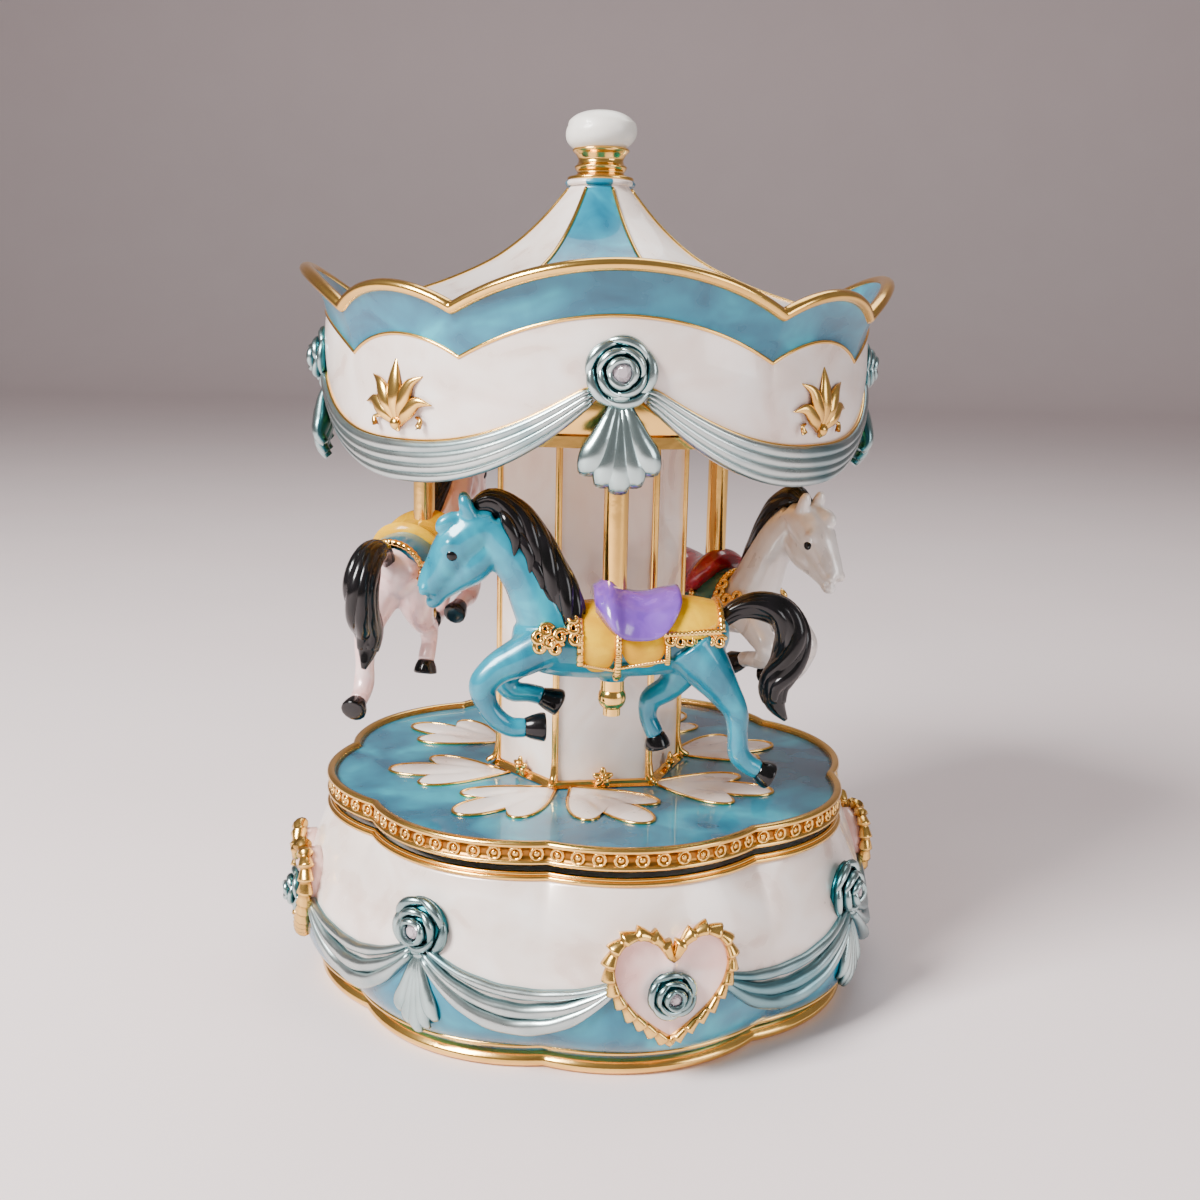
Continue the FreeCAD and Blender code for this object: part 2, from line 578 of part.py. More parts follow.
def canopy_roof():
    """Hollow tent roof: one smooth curve and the same curve lowered by the wall."""
    sides = []
    for drop in (0, ROOF_WALL):
        curve = Part.BSplineCurve()
        curve.interpolate([V(r, 0, z - drop) for r, z in ROOF])
        sides.append(curve)
    ends = [Part.LineSegment(sides[0].StartPoint, sides[1].StartPoint),
            Part.LineSegment(sides[0].EndPoint, sides[1].EndPoint)]
    wire = Part.Wire(Part.__sortEdges__([c.toShape() for c in sides + ends]))
    return Part.Face(wire).revolve(V(0, 0, 0), UP, 360)


def canopy_lilies():
    """Gold five-leaved flowers between the swags, one to each narrow scallop."""
    blades = []
    for angle, length in ((-62, 5.6), (-32, 7.4), (0, 9.6), (32, 7.4), (62, 5.6)):
        middle = 0.55 * length
        outline = [V(0, 0, 0), V(-0.9, 0, middle), V(0, 0, length), V(0.9, 0, middle), V(0, 0, 0)]
        blade = Part.Face(Part.makePolygon(outline)).extrude(V(0, -2.2, 0))
        blade.rotate(V(0, 0, 0), V(0, 1, 0), angle)
        blades.append(blade)
    knot = Part.makeBox(4.4, 2.5, 2.6, V(-2.2, -2.5, -1.6))
    flower = knot.fuse(blades)
    flower.translate(V(0, -41.2, 93.6))
    return turned(around(flower, SIDES, 45), CANOPY_TURN)


def finial_neck():
    outline = [(1.55, NECK_Z), (5.0, NECK_Z), (5.0, NECK_Z + 0.7), (3.6, NECK_Z + 1.4), (3.2, NECK_Z + 2.4),
               (3.5, NECK_Z + 3.4), (4.4, NECK_Z + 4.4), (1.55, NECK_Z + 4.4)]
    return revolved(outline)


def finial_ball():
    half = (TOTAL_HEIGHT - BALL_Z) / 2
    ball = Part.makeSphere(BALL_R)
    squeeze = FreeCAD.Matrix()
    squeeze.scale(V(1, 1, half / BALL_R))
    ball = ball.transformGeometry(squeeze)
    ball.translate(V(0, 0, BALL_Z + half))
    return ball.cut([disc(ROD_R + 0.02, BALL_Z - 1, BALL_Z + 2.7), disc(4.4, NECK_Z, NECK_Z + 4.42)])


# ---------------------------------------------------------------- turntable: poles and horses
def limb(points):
    """Chain of tapered round runs through (forward, side, up, radius) points, with a ball at each bend."""
    pieces = []
    for (x0, y0, z0, r0), (x1, y1, z1, r1) in zip(points, points[1:]):
        start, run = V(x0, y0, z0), V(x1 - x0, y1 - y0, z1 - z0)
        pieces.append(Part.makeCone(r0, r1, run.Length, start, run))
    for x, y, z, r in points:
        pieces.append(Part.makeSphere(1.05 * r, V(x, y, z)))
    return pieces


def stations(points):
    """Smooth body through round sections of (forward, up, radius), each square to its neighbours."""
    wires = []
    for i, (x, z, r) in enumerate(points):
        before, after = points[max(i - 1, 0)], points[min(i + 1, len(points) - 1)]
        along = V(after[0] - before[0], 0, after[1] - before[1])
        wires.append(Part.Wire(Part.makeCircle(r, V(x, 0, z), along)))
    return Part.makeLoft(wires, True, False)


LEGS = [   # galloping legs: (forward, side, up, radius), measured from the middle of the belly
    [(12.0, 2.6, -1.0, 3.0), (20.2, 3.4, -5.0, 2.0), (18.0, 3.2, -11.0, 1.4), (12.6, 3.0, -12.0, 1.7)],
    [(11.0, -2.6, -1.0, 3.0), (17.0, -3.2, -6.4, 1.9), (14.6, -3.0, -8.6, 1.4), (9.8, -2.8, -9.7, 1.6)],
    [(-11.0, 2.6, -0.5, 3.6), (-16.4, 3.2, -9.6, 2.0), (-17.6, 3.2, -16.8, 1.6), (-21.8, 3.0, -19.8, 1.8)],
    [(-10.0, -2.6, -0.5, 3.6), (-9.6, -2.9, -6.0, 2.4), (-4.8, -3.0, -10.4, 1.6), (-6.2, -3.0, -16.6, 1.7)]]
BODY = [(15.6, 1.2, 2.6), (12.5, 0.8, 4.9), (7.0, 0.2, 5.6), (0.0, -0.2, 5.2), (-6.5, 0.2, 5.3),
        (-12.0, 1.0, 5.2), (-15.4, 1.4, 2.8)]
NECK = [(10.0, 1.5, 4.6), (14.6, 7.2, 4.0), (18.2, 13.4, 3.2), (20.6, 18.6, 2.6)]
HEAD = [(20.4, 18.6, 2.4), (23.6, 15.0, 3.0), (26.6, 11.0, 2.3), (28.4, 8.0, 1.8)]
TAIL = [(-15.0, 0.0, 4.0, 1.3), (-18.6, 0.0, 6.6, 1.7), (-23.4, 0.0, 5.0, 2.3), (-24.8, 0.0, -0.6, 2.1),
        (-22.6, 0.0, -5.4, 1.6), (-24.4, 0.0, -9.6, 0.9)]
BELLY_Z = 61.6                 # middle of the front horse's belly


def horse():
    """Galloping horse with its mane, saddle and blanket, heading +X, the pole through its middle."""
    pieces = [stations(BODY), stations(NECK), stations(HEAD)]
    for leg in LEGS:
        pieces += limb(leg)
    pieces += limb(TAIL)
    mane = [(9.4, 0.0, 7.0, 1.6), (12.6, 0.0, 12.6, 1.9), (16.0, 0.0, 18.0, 1.8), (20.6, 0.0, 21.4, 1.3)]
    pieces += limb(mane)
    pieces += [Part.makeCone(0.9, 0.2, 3.0, V(22.4, y, 18.2), V(0.1, 0, 1)) for y in (-1.5, 1.5)]
    blanket = Part.makeCylinder(6.1, 9.0, V(-5.6, 0, 0.2), V(1, 0, 0))
    seat = [Part.makeCylinder(6.9, 6.4, V(-4.4, 0, 0.4), V(1, 0, 0)), Part.makeSphere(2.4, V(3.0, 0, 7.2)),
            Part.makeSphere(2.6, V(-5.4, 0, 7.0))]
    over = Part.makeBox(30, 20, 14, V(-15, -10, -2.4))
    pieces += [blanket.common(over)] + [p.common(over) for p in seat]
    solid = pieces[0].fuse(pieces[1:])
    return solid.cut(Part.makeCylinder(POLE_R + 0.02, 60, V(0, 0, -30)))


def on_circle(shape, angle, z):
    """Set a horse on the pole circle so that it runs clockwise seen from above."""
    copy = shape.copy()
    copy.rotate(V(0, 0, 0), UP, 180)
    copy.translate(V(0, -POLE_CIRCLE, z))
    return turned(copy, HORSE_TURN + angle)


def pole(angle, lift):
    p = at(POLE_CIRCLE, HORSE_TURN + angle, 0)
    return disc(POLE_R, BELLY_Z + lift - 7.4, CEILING_Z + CEILING_T, p.x, p.y)


def pole_nuts():
    """Gold balls that close the poles under the horses."""
    balls = []
    for name, angle, lift in HORSES:
        p = at(POLE_CIRCLE, HORSE_TURN + angle, 0)
        z = BELLY_Z + lift - 8.6
        ball = Part.makeSphere(2.1, V(p.x, p.y, z)).fuse(disc(1.3, z - 2.7, z - 1.2, p.x, p.y))
        balls.append(ball.cut(disc(POLE_R, z + 1.2, z + 4, p.x, p.y)))
    return Part.makeCompound(balls)


# ---------------------------------------------------------------- every node, by body
def ornament(shape, first, turn=0.0):
    return turned(around(shape, SIDES, first), turn)


def build():
    nodes = {
        "base_shell": base_shell(), "base_rim": base_rim(), "base_foot": base_foot(),
        "heart_frames": heart_frames(), "heart_plates": heart_plates(),
        "heart_roses": ornament(rose(3.4, ORNAMENT_R + 1.0, HEART_Z - 1.0), 0),
        "heart_crystals": ornament(crystal(ORNAMENT_R + 2.8, HEART_Z - 1.0), 0),
        "base_roses": ornament(rose(4.4, ORNAMENT_R - 0.8, ROSE_Z), 45),
        "base_crystals": ornament(crystal(ORNAMENT_R + 1.9, ROSE_Z), 45),
        "base_ribbons": ornament(tassel(ORNAMENT_R - 0.4, ROSE_Z - 3.4, 5.0, 7.4), 45),
        "base_swags": around(base_swag(), LOBES, 22.5),
        "bottom_cover": bottom_cover(), "cover_screws": cover_screws(), "bedplate": bedplate(),
        "movement_screws": movement_screws(), "comb": comb(), "comb_screws": comb_screws(),
        "governor_frame": governor_frame(), "output_bush": output_bush(),
        "spring_barrel": spring_barrel(), "mainspring": mainspring(), "output_shaft": output_shaft(),
        "thrust_washer": thrust_washer(),
        "winding_arbor": winding_arbor(), "winding_key": winding_key(),
        "pin_cylinder": pin_cylinder(), "cylinder_shaft": cylinder_shaft(),
        "governor_wheel": governor_wheel(), "governor_fly": governor_fly(),
        "platform_plate": platform_plate(), "platform_rim": platform_rim(), "platform_petals": petals(),
        "column": column(), "column_wires": column_wires(), "column_foot": column_foot(),
        "tie_rod": tie_rod(), "tie_rod_nut": tie_rod_nut(),
        "canopy_ceiling": canopy_ceiling(), "canopy_skirt": canopy_skirt(), "canopy_roof": canopy_roof(),
        "canopy_swags": canopy_swags(), "canopy_lilies": canopy_lilies(),
        "canopy_roses": ornament(rose(4.3, CANOPY_ROSE_R, CANOPY_ROSE_Z), 0, CANOPY_TURN),
        "canopy_crystals": ornament(crystal(CANOPY_ROSE_R + 2.65, CANOPY_ROSE_Z), 0, CANOPY_TURN),
        "canopy_tassels": ornament(tassel(CANOPY_ROSE_R - 0.6, CANOPY_ROSE_Z - 4.0, 85.0, 9.0), 0,
                                   CANOPY_TURN),
        "finial_neck": finial_neck(), "finial_ball": finial_ball(), "pole_nuts": pole_nuts()}
    galloper = horse()
    for name, angle, lift in HORSES:
        nodes["horse_" + name] = on_circle(galloper, angle, BELLY_Z + lift)
        nodes["pole_" + name] = pole(angle, lift)
    return nodes


def export_all():
    os.makedirs("parts", exist_ok=True)
    for name, shape in build().items():
        print("%-18s solids %2d  valid %s" % (name, len(shape.Solids), shape.isValid()))
        shape.exportStep("parts/%s.step" % name)


export_all()
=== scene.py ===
# %% [markdown]
# # A carousel music box in enamel and gold
# The real thing is a small cast-metal trinket.  Its castings are plated with gold, the sunk fields between
# the gold edges are filled with pearly enamel, and little silver roses are soldered on.  The mechanical
# model comes first and fixes every size; this lesson dresses it, one piece after another, with surfaces
# worked out by numpy.

# %% Load the mechanical frame
import math

import bmesh
import bpy
import numpy as np
from mathutils import Matrix, Vector

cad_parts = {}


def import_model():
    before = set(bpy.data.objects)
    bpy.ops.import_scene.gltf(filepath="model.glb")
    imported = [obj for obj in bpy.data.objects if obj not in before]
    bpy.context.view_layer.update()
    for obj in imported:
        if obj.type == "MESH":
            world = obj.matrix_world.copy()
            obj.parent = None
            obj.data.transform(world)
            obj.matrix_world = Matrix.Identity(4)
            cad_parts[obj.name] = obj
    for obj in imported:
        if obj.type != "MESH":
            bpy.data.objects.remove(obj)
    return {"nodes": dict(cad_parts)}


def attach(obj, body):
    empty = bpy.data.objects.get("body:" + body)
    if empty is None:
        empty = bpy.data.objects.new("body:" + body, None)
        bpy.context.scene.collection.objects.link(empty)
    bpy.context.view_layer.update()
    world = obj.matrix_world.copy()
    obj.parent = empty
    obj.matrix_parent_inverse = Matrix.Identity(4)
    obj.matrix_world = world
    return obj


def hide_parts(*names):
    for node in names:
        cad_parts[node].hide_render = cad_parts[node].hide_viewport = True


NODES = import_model()["nodes"]
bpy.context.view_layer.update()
MM = 0.001

# %% [markdown]
# ## Camera and light
# A trinket this small is looked at from close by, a little from above.  A lens of 42 mm at 23 cm gives the
# strong perspective that makes the canopy look wide and the base sweep away under it.  The light is one
# large soft window from the left and above, a weaker one from the right, and a dim surround, because
# polished gold only looks like gold when it has something bright and something dark to mirror.

# %% Camera
def linked(name, data):
    """New object with this data, in the scene's collection."""
    obj = bpy.data.objects.new(name, data)
    bpy.context.scene.collection.objects.link(obj)
    return obj


CAMERA_AZIMUTH = math.radians(-14.7)   # from the front of the base, towards the left
CAMERA_DISTANCE, CAMERA_HEIGHT = 232.4, 107.8
CAMERA_TILT, CAMERA_PAN, CAMERA_ROLL = -0.1957, -0.0059, -0.0219


def place_camera():
    """Camera on a circle round the object: turned about Z, tilted down, then rolled about its own axis."""
    data = bpy.data.cameras.new("camera")
    data.sensor_width = 36.0
    data.lens = 42.4
    data.clip_start = 0.01
    camera = linked("camera", data)
    spin = Matrix.Rotation(CAMERA_AZIMUTH, 4, "Z")
    place = spin @ Matrix.Translation((0, -CAMERA_DISTANCE * MM, CAMERA_HEIGHT * MM))
    aim = Matrix.Rotation(CAMERA_PAN, 4, "Z") @ Matrix.Rotation(CAMERA_TILT, 4, "X")
    aim = aim @ Matrix.Rotation(CAMERA_ROLL, 4, "Y")
    camera.matrix_world = place @ aim @ Matrix.Rotation(math.radians(90), 4, "X")
    bpy.context.scene.camera = camera
    return camera


print("camera at", [round(v, 4) for v in place_camera().matrix_world.translation])


# %% Soft lights
def softbox(name, azimuth, distance, height, size, watts, colour=(1, 1, 1)):
    """Square area light at an azimuth seen from the camera's side, aimed at the middle of the carousel."""
    data = bpy.data.lights.new(name, "AREA")
    data.shape, data.size, data.energy, data.color = "SQUARE", size, watts, colour
    light = linked(name, data)
    angle = CAMERA_AZIMUTH + math.radians(azimuth)
    spot = np.array([distance * math.sin(angle), -distance * math.cos(angle), height])
    aim = Vector(spot - [0, 0, 0.07]).to_track_quat("Z", "Y").to_matrix().to_4x4()
    light.matrix_world = Matrix.Translation(spot) @ aim
    return light


softbox("window", -50, 0.55, 0.50, 0.26, 14.0, (1.0, 0.985, 0.97))
softbox("fill", 58, 0.80, 0.28, 0.36, 2.2, (0.98, 0.97, 1.0))
softbox("top", 160, 0.35, 0.75, 0.50, 2.5)
world = bpy.data.worlds.new("surround")
bpy.context.scene.world = world
world.use_nodes = True
surround = world.node_tree.nodes["Background"].inputs
surround["Color"].default_value = (0.93, 0.88, 0.88, 1)
surround["Strength"].default_value = 0.25


# %% [markdown]
# ## From grids of points to meshes
# Every new piece is a surface r(u, v) sampled on a grid of rows and columns.  A grid can close on itself
# along its columns, like a tube, or along its rows, like a ring, and an open end can be closed with a pole.
# Several grids make one mesh, and turning a grid about the axis repeats an ornament round the carousel.

# %% Grid helpers
def circle(count):
    """Evenly spaced angles once round, in radians."""
    return np.linspace(0, 2 * np.pi, count, endpoint=False)


def unit(rows):
    """Every row divided by its length."""
    return rows / np.linalg.norm(rows, axis=1, keepdims=True)


def shade(mesh, smooth_faces):
    """The first faces are shaded smooth, the rest flat."""
    mesh.polygons.foreach_set("use_smooth", np.arange(len(mesh.polygons)) < smooth_faces)


def to_mesh(name, grids, wrap_rows=False, wrap_cols=True, marks=None):
    """One closed mesh from grids shaped (rows, columns, 3) in millimetres; marks adds a value per point."""
    faces, start = [], 0
    for grid in grids:
        rows, cols = grid.shape[:2]
        index = np.arange(rows * cols).reshape(rows, cols) + start
        below = np.roll(index, -1, 0) if wrap_rows else index[1:]
        here = index if wrap_rows else index[:-1]
        if wrap_cols:
            quads = np.stack([here, np.roll(here, -1, 1), np.roll(below, -1, 1), below], -1)
        else:
            quads = np.stack([here[:, :-1], here[:, 1:], below[:, 1:], below[:, :-1]], -1)
        faces += quads.reshape(-1, 4).tolist()
        start += rows * cols
    mesh = bpy.data.meshes.new(name)
    mesh.from_pydata(np.concatenate([g.reshape(-1, 3) for g in grids]) * MM, [], faces)
    for key, values in (marks or {}).items():
        layer = mesh.attributes.new(key, "FLOAT", "POINT")
        layer.data.foreach_set("value", np.concatenate([v.ravel() for v in values]).astype(np.float32))
    work = bmesh.new()
    work.from_mesh(mesh)
    bmesh.ops.remove_doubles(work, verts=work.verts, dist=2e-6)
    bmesh.ops.dissolve_degenerate(work, edges=work.edges, dist=1e-7)
    bmesh.ops.recalc_face_normals(work, faces=work.faces)
    work.to_mesh(mesh)
    work.free()
    shade(mesh, len(mesh.polygons))
    return mesh


def poled(grid):
    """The grid with a row at each end drawn together to its mean point, so that the ends close."""
    first = np.broadcast_to(grid[:1].mean(1, keepdims=True), grid[:1].shape)
    last = np.broadcast_to(grid[-1:].mean(1, keepdims=True), grid[-1:].shape)
    return np.concatenate([first, grid, last])


def turned(points, degrees):
    """Points turned about Z, counter-clockwise seen from above."""
    c, s = math.cos(math.radians(degrees)), math.sin(math.radians(degrees))
    return points @ np.array([[c, s, 0], [-s, c, 0], [0, 0, 1.0]])


def around(grids, count, first=0.0):
    """Copies of all the grids, evenly spaced round the axis."""
    return [turned(g, first + 360.0 / count * i) for i in range(count) for g in grids]


def polar(radius, degrees, z):
    """Points at an angle from the front, counter-clockwise seen from above; the inputs broadcast."""
    radius, degrees, z = np.broadcast_arrays(radius, degrees, z)
    a = np.radians(degrees)
    return np.stack([radius * np.sin(a), -radius * np.cos(a), z], -1)


def curve_at(xs, ys, x):
    """Smooth curve through (xs, ys), read at any x: cubic pieces whose slopes are those of the
    neighbours' chord."""
    xs, ys, x = np.asarray(xs, float), np.asarray(ys, float), np.asarray(x, float)
    slope = np.gradient(ys, xs, axis=0)
    k = np.clip(np.searchsorted(xs, x, "right") - 1, 0, len(xs) - 2)
    h = xs[k + 1] - xs[k]
    t = np.clip((x - xs[k]) / h, 0, 1)
    if ys.ndim == 2:
        h, t = h[:, None], t[:, None]
    near = (1 + 2 * t) * (1 - t) ** 2 * ys[k] + t * (1 - t) ** 2 * h * slope[k]
    return near + t * t * (3 - 2 * t) * ys[k + 1] - t * t * (1 - t) * h * slope[k + 1]


def smooth(points, count):
    """Smooth curve through points of any dimension, sampled at even steps of the chord length."""
    p = np.asarray(points, float)
    p = p[:, None] if p.ndim == 1 else p
    chord = np.concatenate([[0], np.cumsum(np.linalg.norm(np.diff(p, axis=0), axis=1))])
    return curve_at(chord, p, np.linspace(0, chord[-1], count))


def tube(path, wide, tall=None, sides=12, across=(0, 0, 1.0), close=True):
    """Rounded bar along a path: each cross-section is an ellipse, wide towards across x tangent and tall
    towards the direction square to both.  wide and tall are half-sizes, one per point or one for all."""
    path = np.asarray(path, float)
    tall = wide if tall is None else tall
    tangent = unit(np.gradient(path, axis=0))
    side = unit(np.cross(np.broadcast_to(np.asarray(across, float), path.shape), tangent))
    up = np.cross(tangent, side)
    a = circle(sides)
    wide = np.broadcast_to(wide, len(path))[:, None, None]
    tall = np.broadcast_to(tall, len(path))[:, None, None]
    ring = side[:, None] * np.cos(a)[None, :, None] * wide + up[:, None] * np.sin(a)[None, :, None] * tall
    grid = path[:, None] + ring
    return poled(grid) if close else grid


def piece(name, mesh, body, slot, material, *replaced):
    """Object at the origin that rides on a body, wears a finish and may stand for CAD nodes."""
    obj = linked(name, mesh)
    mesh.materials.append(material)
    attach(obj, body)
    if replaced:
        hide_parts(*replaced)
    print("%-22s %6d faces" % (name, len(mesh.polygons)))
    return obj


# %% [markdown]
# ## Shader arithmetic in plain Python
# A finish is a small graph of nodes.  Written as nodes it is hard to read, so a value that comes out of a
# node is wrapped in a class that knows + and *.  Then `pattern * 0.2 + rough` adds the two Math nodes that
# it stands for.

# %% A wrapped shader value and a palette
class Value:
    """The output of a shader node, usable in Python arithmetic."""

    def __init__(self, finish, socket):
        self.finish, self.socket = finish, socket

    def math(self, operation, other):
        return self.finish.add("ShaderNodeMath", {"operation": operation}, {0: self, 1: other})

    def __add__(self, other): return self.math("ADD", other)
    def __mul__(self, other): return self.math("MULTIPLY", other)


class Finish:
    """A material under construction: add() makes any node, the rest are the few shapes used again and
    again."""

    def __init__(self, name, **constants):
        self.material = bpy.data.materials.new(name)
        self.material.use_nodes = True
        self.tree = self.material.node_tree
        self.shader = self.tree.nodes["Principled BSDF"]
        for socket, value in constants.items():
            self.shader.inputs[socket.replace("_", " ")].default_value = value

    def add(self, kind, settings=None, inputs=None, output=0):
        """Node of a type, with its settings first (a ramp's stops among them), then its sockets."""
        node = self.tree.nodes.new(kind)
        for key, value in (settings or {}).items():
            if key == "stops":
                ramp = node.color_ramp
                while len(ramp.elements) < len(value):
                    ramp.elements.new(0.5)
                for element, (place, colour) in zip(ramp.elements, value):
                    element.position, element.color = place, (*colour, 1)
            else:
                setattr(node, key, value)
        for key, value in (inputs or {}).items():
            if isinstance(value, Value):
                self.tree.links.new(value.socket, node.inputs[key])
            else:
                node.inputs[key].default_value = value
        return Value(self, node.outputs[output])

    def place(self, scale=(1, 1, 1)):
        """Object coordinates, stretched by a scale."""
        where = self.add("ShaderNodeTexCoord", output="Object")
        return self.add("ShaderNodeMapping", None, {"Vector": where, "Scale": scale})

    def noise(self, scale, detail=3.0, distortion=0.0, stretch=(1, 1, 1), roughness=0.5):
        settings = {"Vector": self.place(stretch), "Scale": scale, "Detail": detail,
                    "Distortion": distortion,
                    "Roughness": roughness}
        return self.add("ShaderNodeTexNoise", None, settings)

    def ramp(self, value, *stops):
        return self.add("ShaderNodeValToRGB", {"stops": stops}, {"Fac": value})

    def mix(self, share, a, b):
        """Colour a where share is 0 and colour b where it is 1."""
        a, b = [c if isinstance(c, Value) else (*c, 1) for c in (a, b)]
        return self.add("ShaderNodeMix", {"data_type": "RGBA"}, {0: share, 6: a, 7: b}, 2)

    def mark(self, name):
        """The value that a mesh carries under this name."""
        return self.add("ShaderNodeAttribute", {"attribute_name": name}, None, "Fac")

    def step(self, value, start, end):
        """0 below start, 1 above end, a straight slope between them."""
        return self.add("ShaderNodeMapRange", None, {"Value": value, "From Min": start, "From Max": end})

    def wear(self, **sockets):
        """Feed the shader's sockets; height makes a bump of that strength (value, strength,
        millimetres)."""
        for key, value in sockets.items():
            if key == "height":
                bump = self.add("ShaderNodeBump", None,
                                {"Height": value[0], "Strength": value[1], "Distance": value[2] * MM})
                self.tree.links.new(bump.socket, self.shader.inputs["Normal"])
            else:
                self.tree.links.new(value.socket, self.shader.inputs[key.replace("_", " ")])
        return self.material


# %% [markdown]
# ## Pearl enamel
# The enamel is a resin full of mica flakes, laid on with a brush and left to level itself.  So it has a
# hard clear gloss on top, and under it long brush swirls, paler where the flakes lie flat and deeper where
# the paint pooled.  Two noises, one of them pulled along the brush and twisted by its own distortion, give
# those swirls, and a little metallic in the base gives the shimmer that plain paint does not have.

# %% Enamels
TURQUOISE = ((0.000, 0.075, 0.140), (0.000, 0.135, 0.225), (0.000, 0.215, 0.325), (0.004, 0.350, 0.470))
CREAM = ((0.740, 0.560, 0.480), (0.880, 0.740, 0.660), (0.940, 0.830, 0.760), (0.970, 0.900, 0.850))
BLUSH = ((0.680, 0.340, 0.300), (0.850, 0.530, 0.480), (0.900, 0.640, 0.590), (0.940, 0.760, 0.720))
PEARL = ((0.620, 0.540, 0.480), (0.800, 0.740, 0.690), (0.880, 0.840, 0.800), (0.940, 0.920, 0.900))


def swirls(f, scale, stretch=(1, 1, 1)):
    """Brush swirls from 0 to 1: a broad twisted noise with a fine one on it."""
    broad = f.noise(scale, 2.0, 1.1, stretch, 0.45)
    fine = f.noise(scale * 2.8, 3.0, 0.8, (stretch[0], stretch[1], stretch[2] * 0.5), 0.5)
    return broad * 0.80 + fine * 0.20


def spread(tones, width=0.42):
    """Ramp stops that lay four tones evenly over the middle of a noise."""
    return [(0.5 + width * (i / 3 - 0.5), tone) for i, tone in enumerate(tones)]


def enamel(name, tones, scale=75.0, width=0.34):
    """Pearl enamel in four tones, laid over that width of the noise."""
    f = Finish(name, Metallic=0.15, Coat_Weight=0.6, Coat_Roughness=0.035, Coat_IOR=1.5)
    pattern = swirls(f, scale)
    level = f.noise(60.0, 2.0)
    colour = f.ramp(pattern, *spread(tones, width))
    return f.wear(Base_Color=colour, Roughness=pattern * 0.18 + 0.20,
                  height=(pattern * 0.35 + level, 0.10, 0.35))


def two_enamels(name, mark, below, above, scale, stretch):
    """Two enamels in one casting, parted where a mark on the mesh passes zero."""
    f = Finish(name, Metallic=0.12, Coat_Weight=0.6, Coat_Roughness=0.035, Coat_IOR=1.5)
    pattern = swirls(f, scale, stretch)
    side = f.step(f.mark(mark), -0.06, 0.06)
    colour = f.mix(side, f.ramp(pattern, *spread(below)), f.ramp(pattern, *spread(above)))
    return f.wear(Base_Color=colour, Roughness=pattern * 0.18 + 0.20,
                  height=(pattern * 0.35 + f.noise(60.0, 2.0), 0.10, 0.35))


turquoise = enamel("turquoise_enamel", TURQUOISE)
cream = enamel("cream_enamel", CREAM)
blush = enamel("blush_enamel", BLUSH, 70.0)
base_enamel = two_enamels("base_enamel", "over_drape", TURQUOISE, CREAM, 80.0, (1, 1, 1.6))
skirt_enamel = two_enamels("skirt_enamel", "over_wire", CREAM, TURQUOISE, 80.0, (1, 1, 1.8))
roof_enamel = two_enamels("roof_enamel", "panel", CREAM, TURQUOISE, 90.0, (1.5, 1.5, 0.6))


def plain_enamel(name, colour, deep, rough=0.16, scale=220.0, coat=1.0, specular=0.5):
    """Hand-painted gloss enamel in one colour, a little deeper where the brush left it thick."""
    f = Finish(name, Coat_Weight=coat, Coat_Roughness=0.04, Specular_IOR_Level=specular)
    pattern = f.noise(scale, 3.0, 1.0)
    return f.wear(Base_Color=f.mix(f.step(pattern, 0.35, 0.65), deep, colour),
                  Roughness=pattern * 0.2 + rough,
                  height=(pattern, 0.12, 0.2))


black_gloss = plain_enamel("black_enamel", (0.006, 0.005, 0.006), (0.002, 0.002, 0.002), 0.10,
                           coat=0.35, specular=0.25)
white_satin = plain_enamel("white_satin_enamel", (0.86, 0.83, 0.77), (0.80, 0.76, 0.69), 0.30, 120.0, 0.35)
violet = plain_enamel("violet_enamel", (0.21, 0.075, 0.50), (0.13, 0.04, 0.36), coat=0.7)
yellow = plain_enamel("yellow_enamel", (0.80, 0.47, 0.0), (0.66, 0.33, 0.0), coat=0.15, specular=0.15)
red = plain_enamel("red_enamel", (0.50, 0.01, 0.03), (0.30, 0.004, 0.015))
green = plain_enamel("green_enamel", (0.02, 0.16, 0.10), (0.01, 0.09, 0.06))


# %% [markdown]
# ## Gold, silver and stones
# Gold plate is a mirror with a colour.  What makes it look real is that it isn't even: the cast surface
# under it ripples and its tone drifts a little.  Shade is also painted in: the tops of the beads stay
# bright and the hollows are painted dark brown.  The silver of the roses gets the same painted shade with
# a blue-green tint, which is partly the real teal wash of its hollows, so a mesh may carry a shade mark.

# %% Metals
def plated(name, bright, dark, rough, scale=160.0, hollow=False, tint=0.35):
    """Polished plate over a cast surface, tinted dark by a slow noise and, if the mesh has it, by shade
    painted into its hollows."""
    f = Finish(name, Metallic=1.0)
    cast = f.noise(scale, 4.0, 0.4)
    slow = f.noise(scale * 0.35, 2.0, 1.0)
    tone_and_shade = f.step(slow, 0.42, 0.72) * tint
    # The mesh's mark adds painted shade: dark in the hollows and along the flanks of bars, bright on crests.
    if hollow:
        tone_and_shade = tone_and_shade.math("MAXIMUM", f.mark("hollow"))
    fine = f.noise(scale * 6, 3.0)
    return f.wear(Base_Color=f.mix(tone_and_shade, bright, dark), Roughness=cast * 0.14 + rough + tone_and_shade * 0.12,
                  height=(cast + fine * 0.25, 0.22, 0.22))


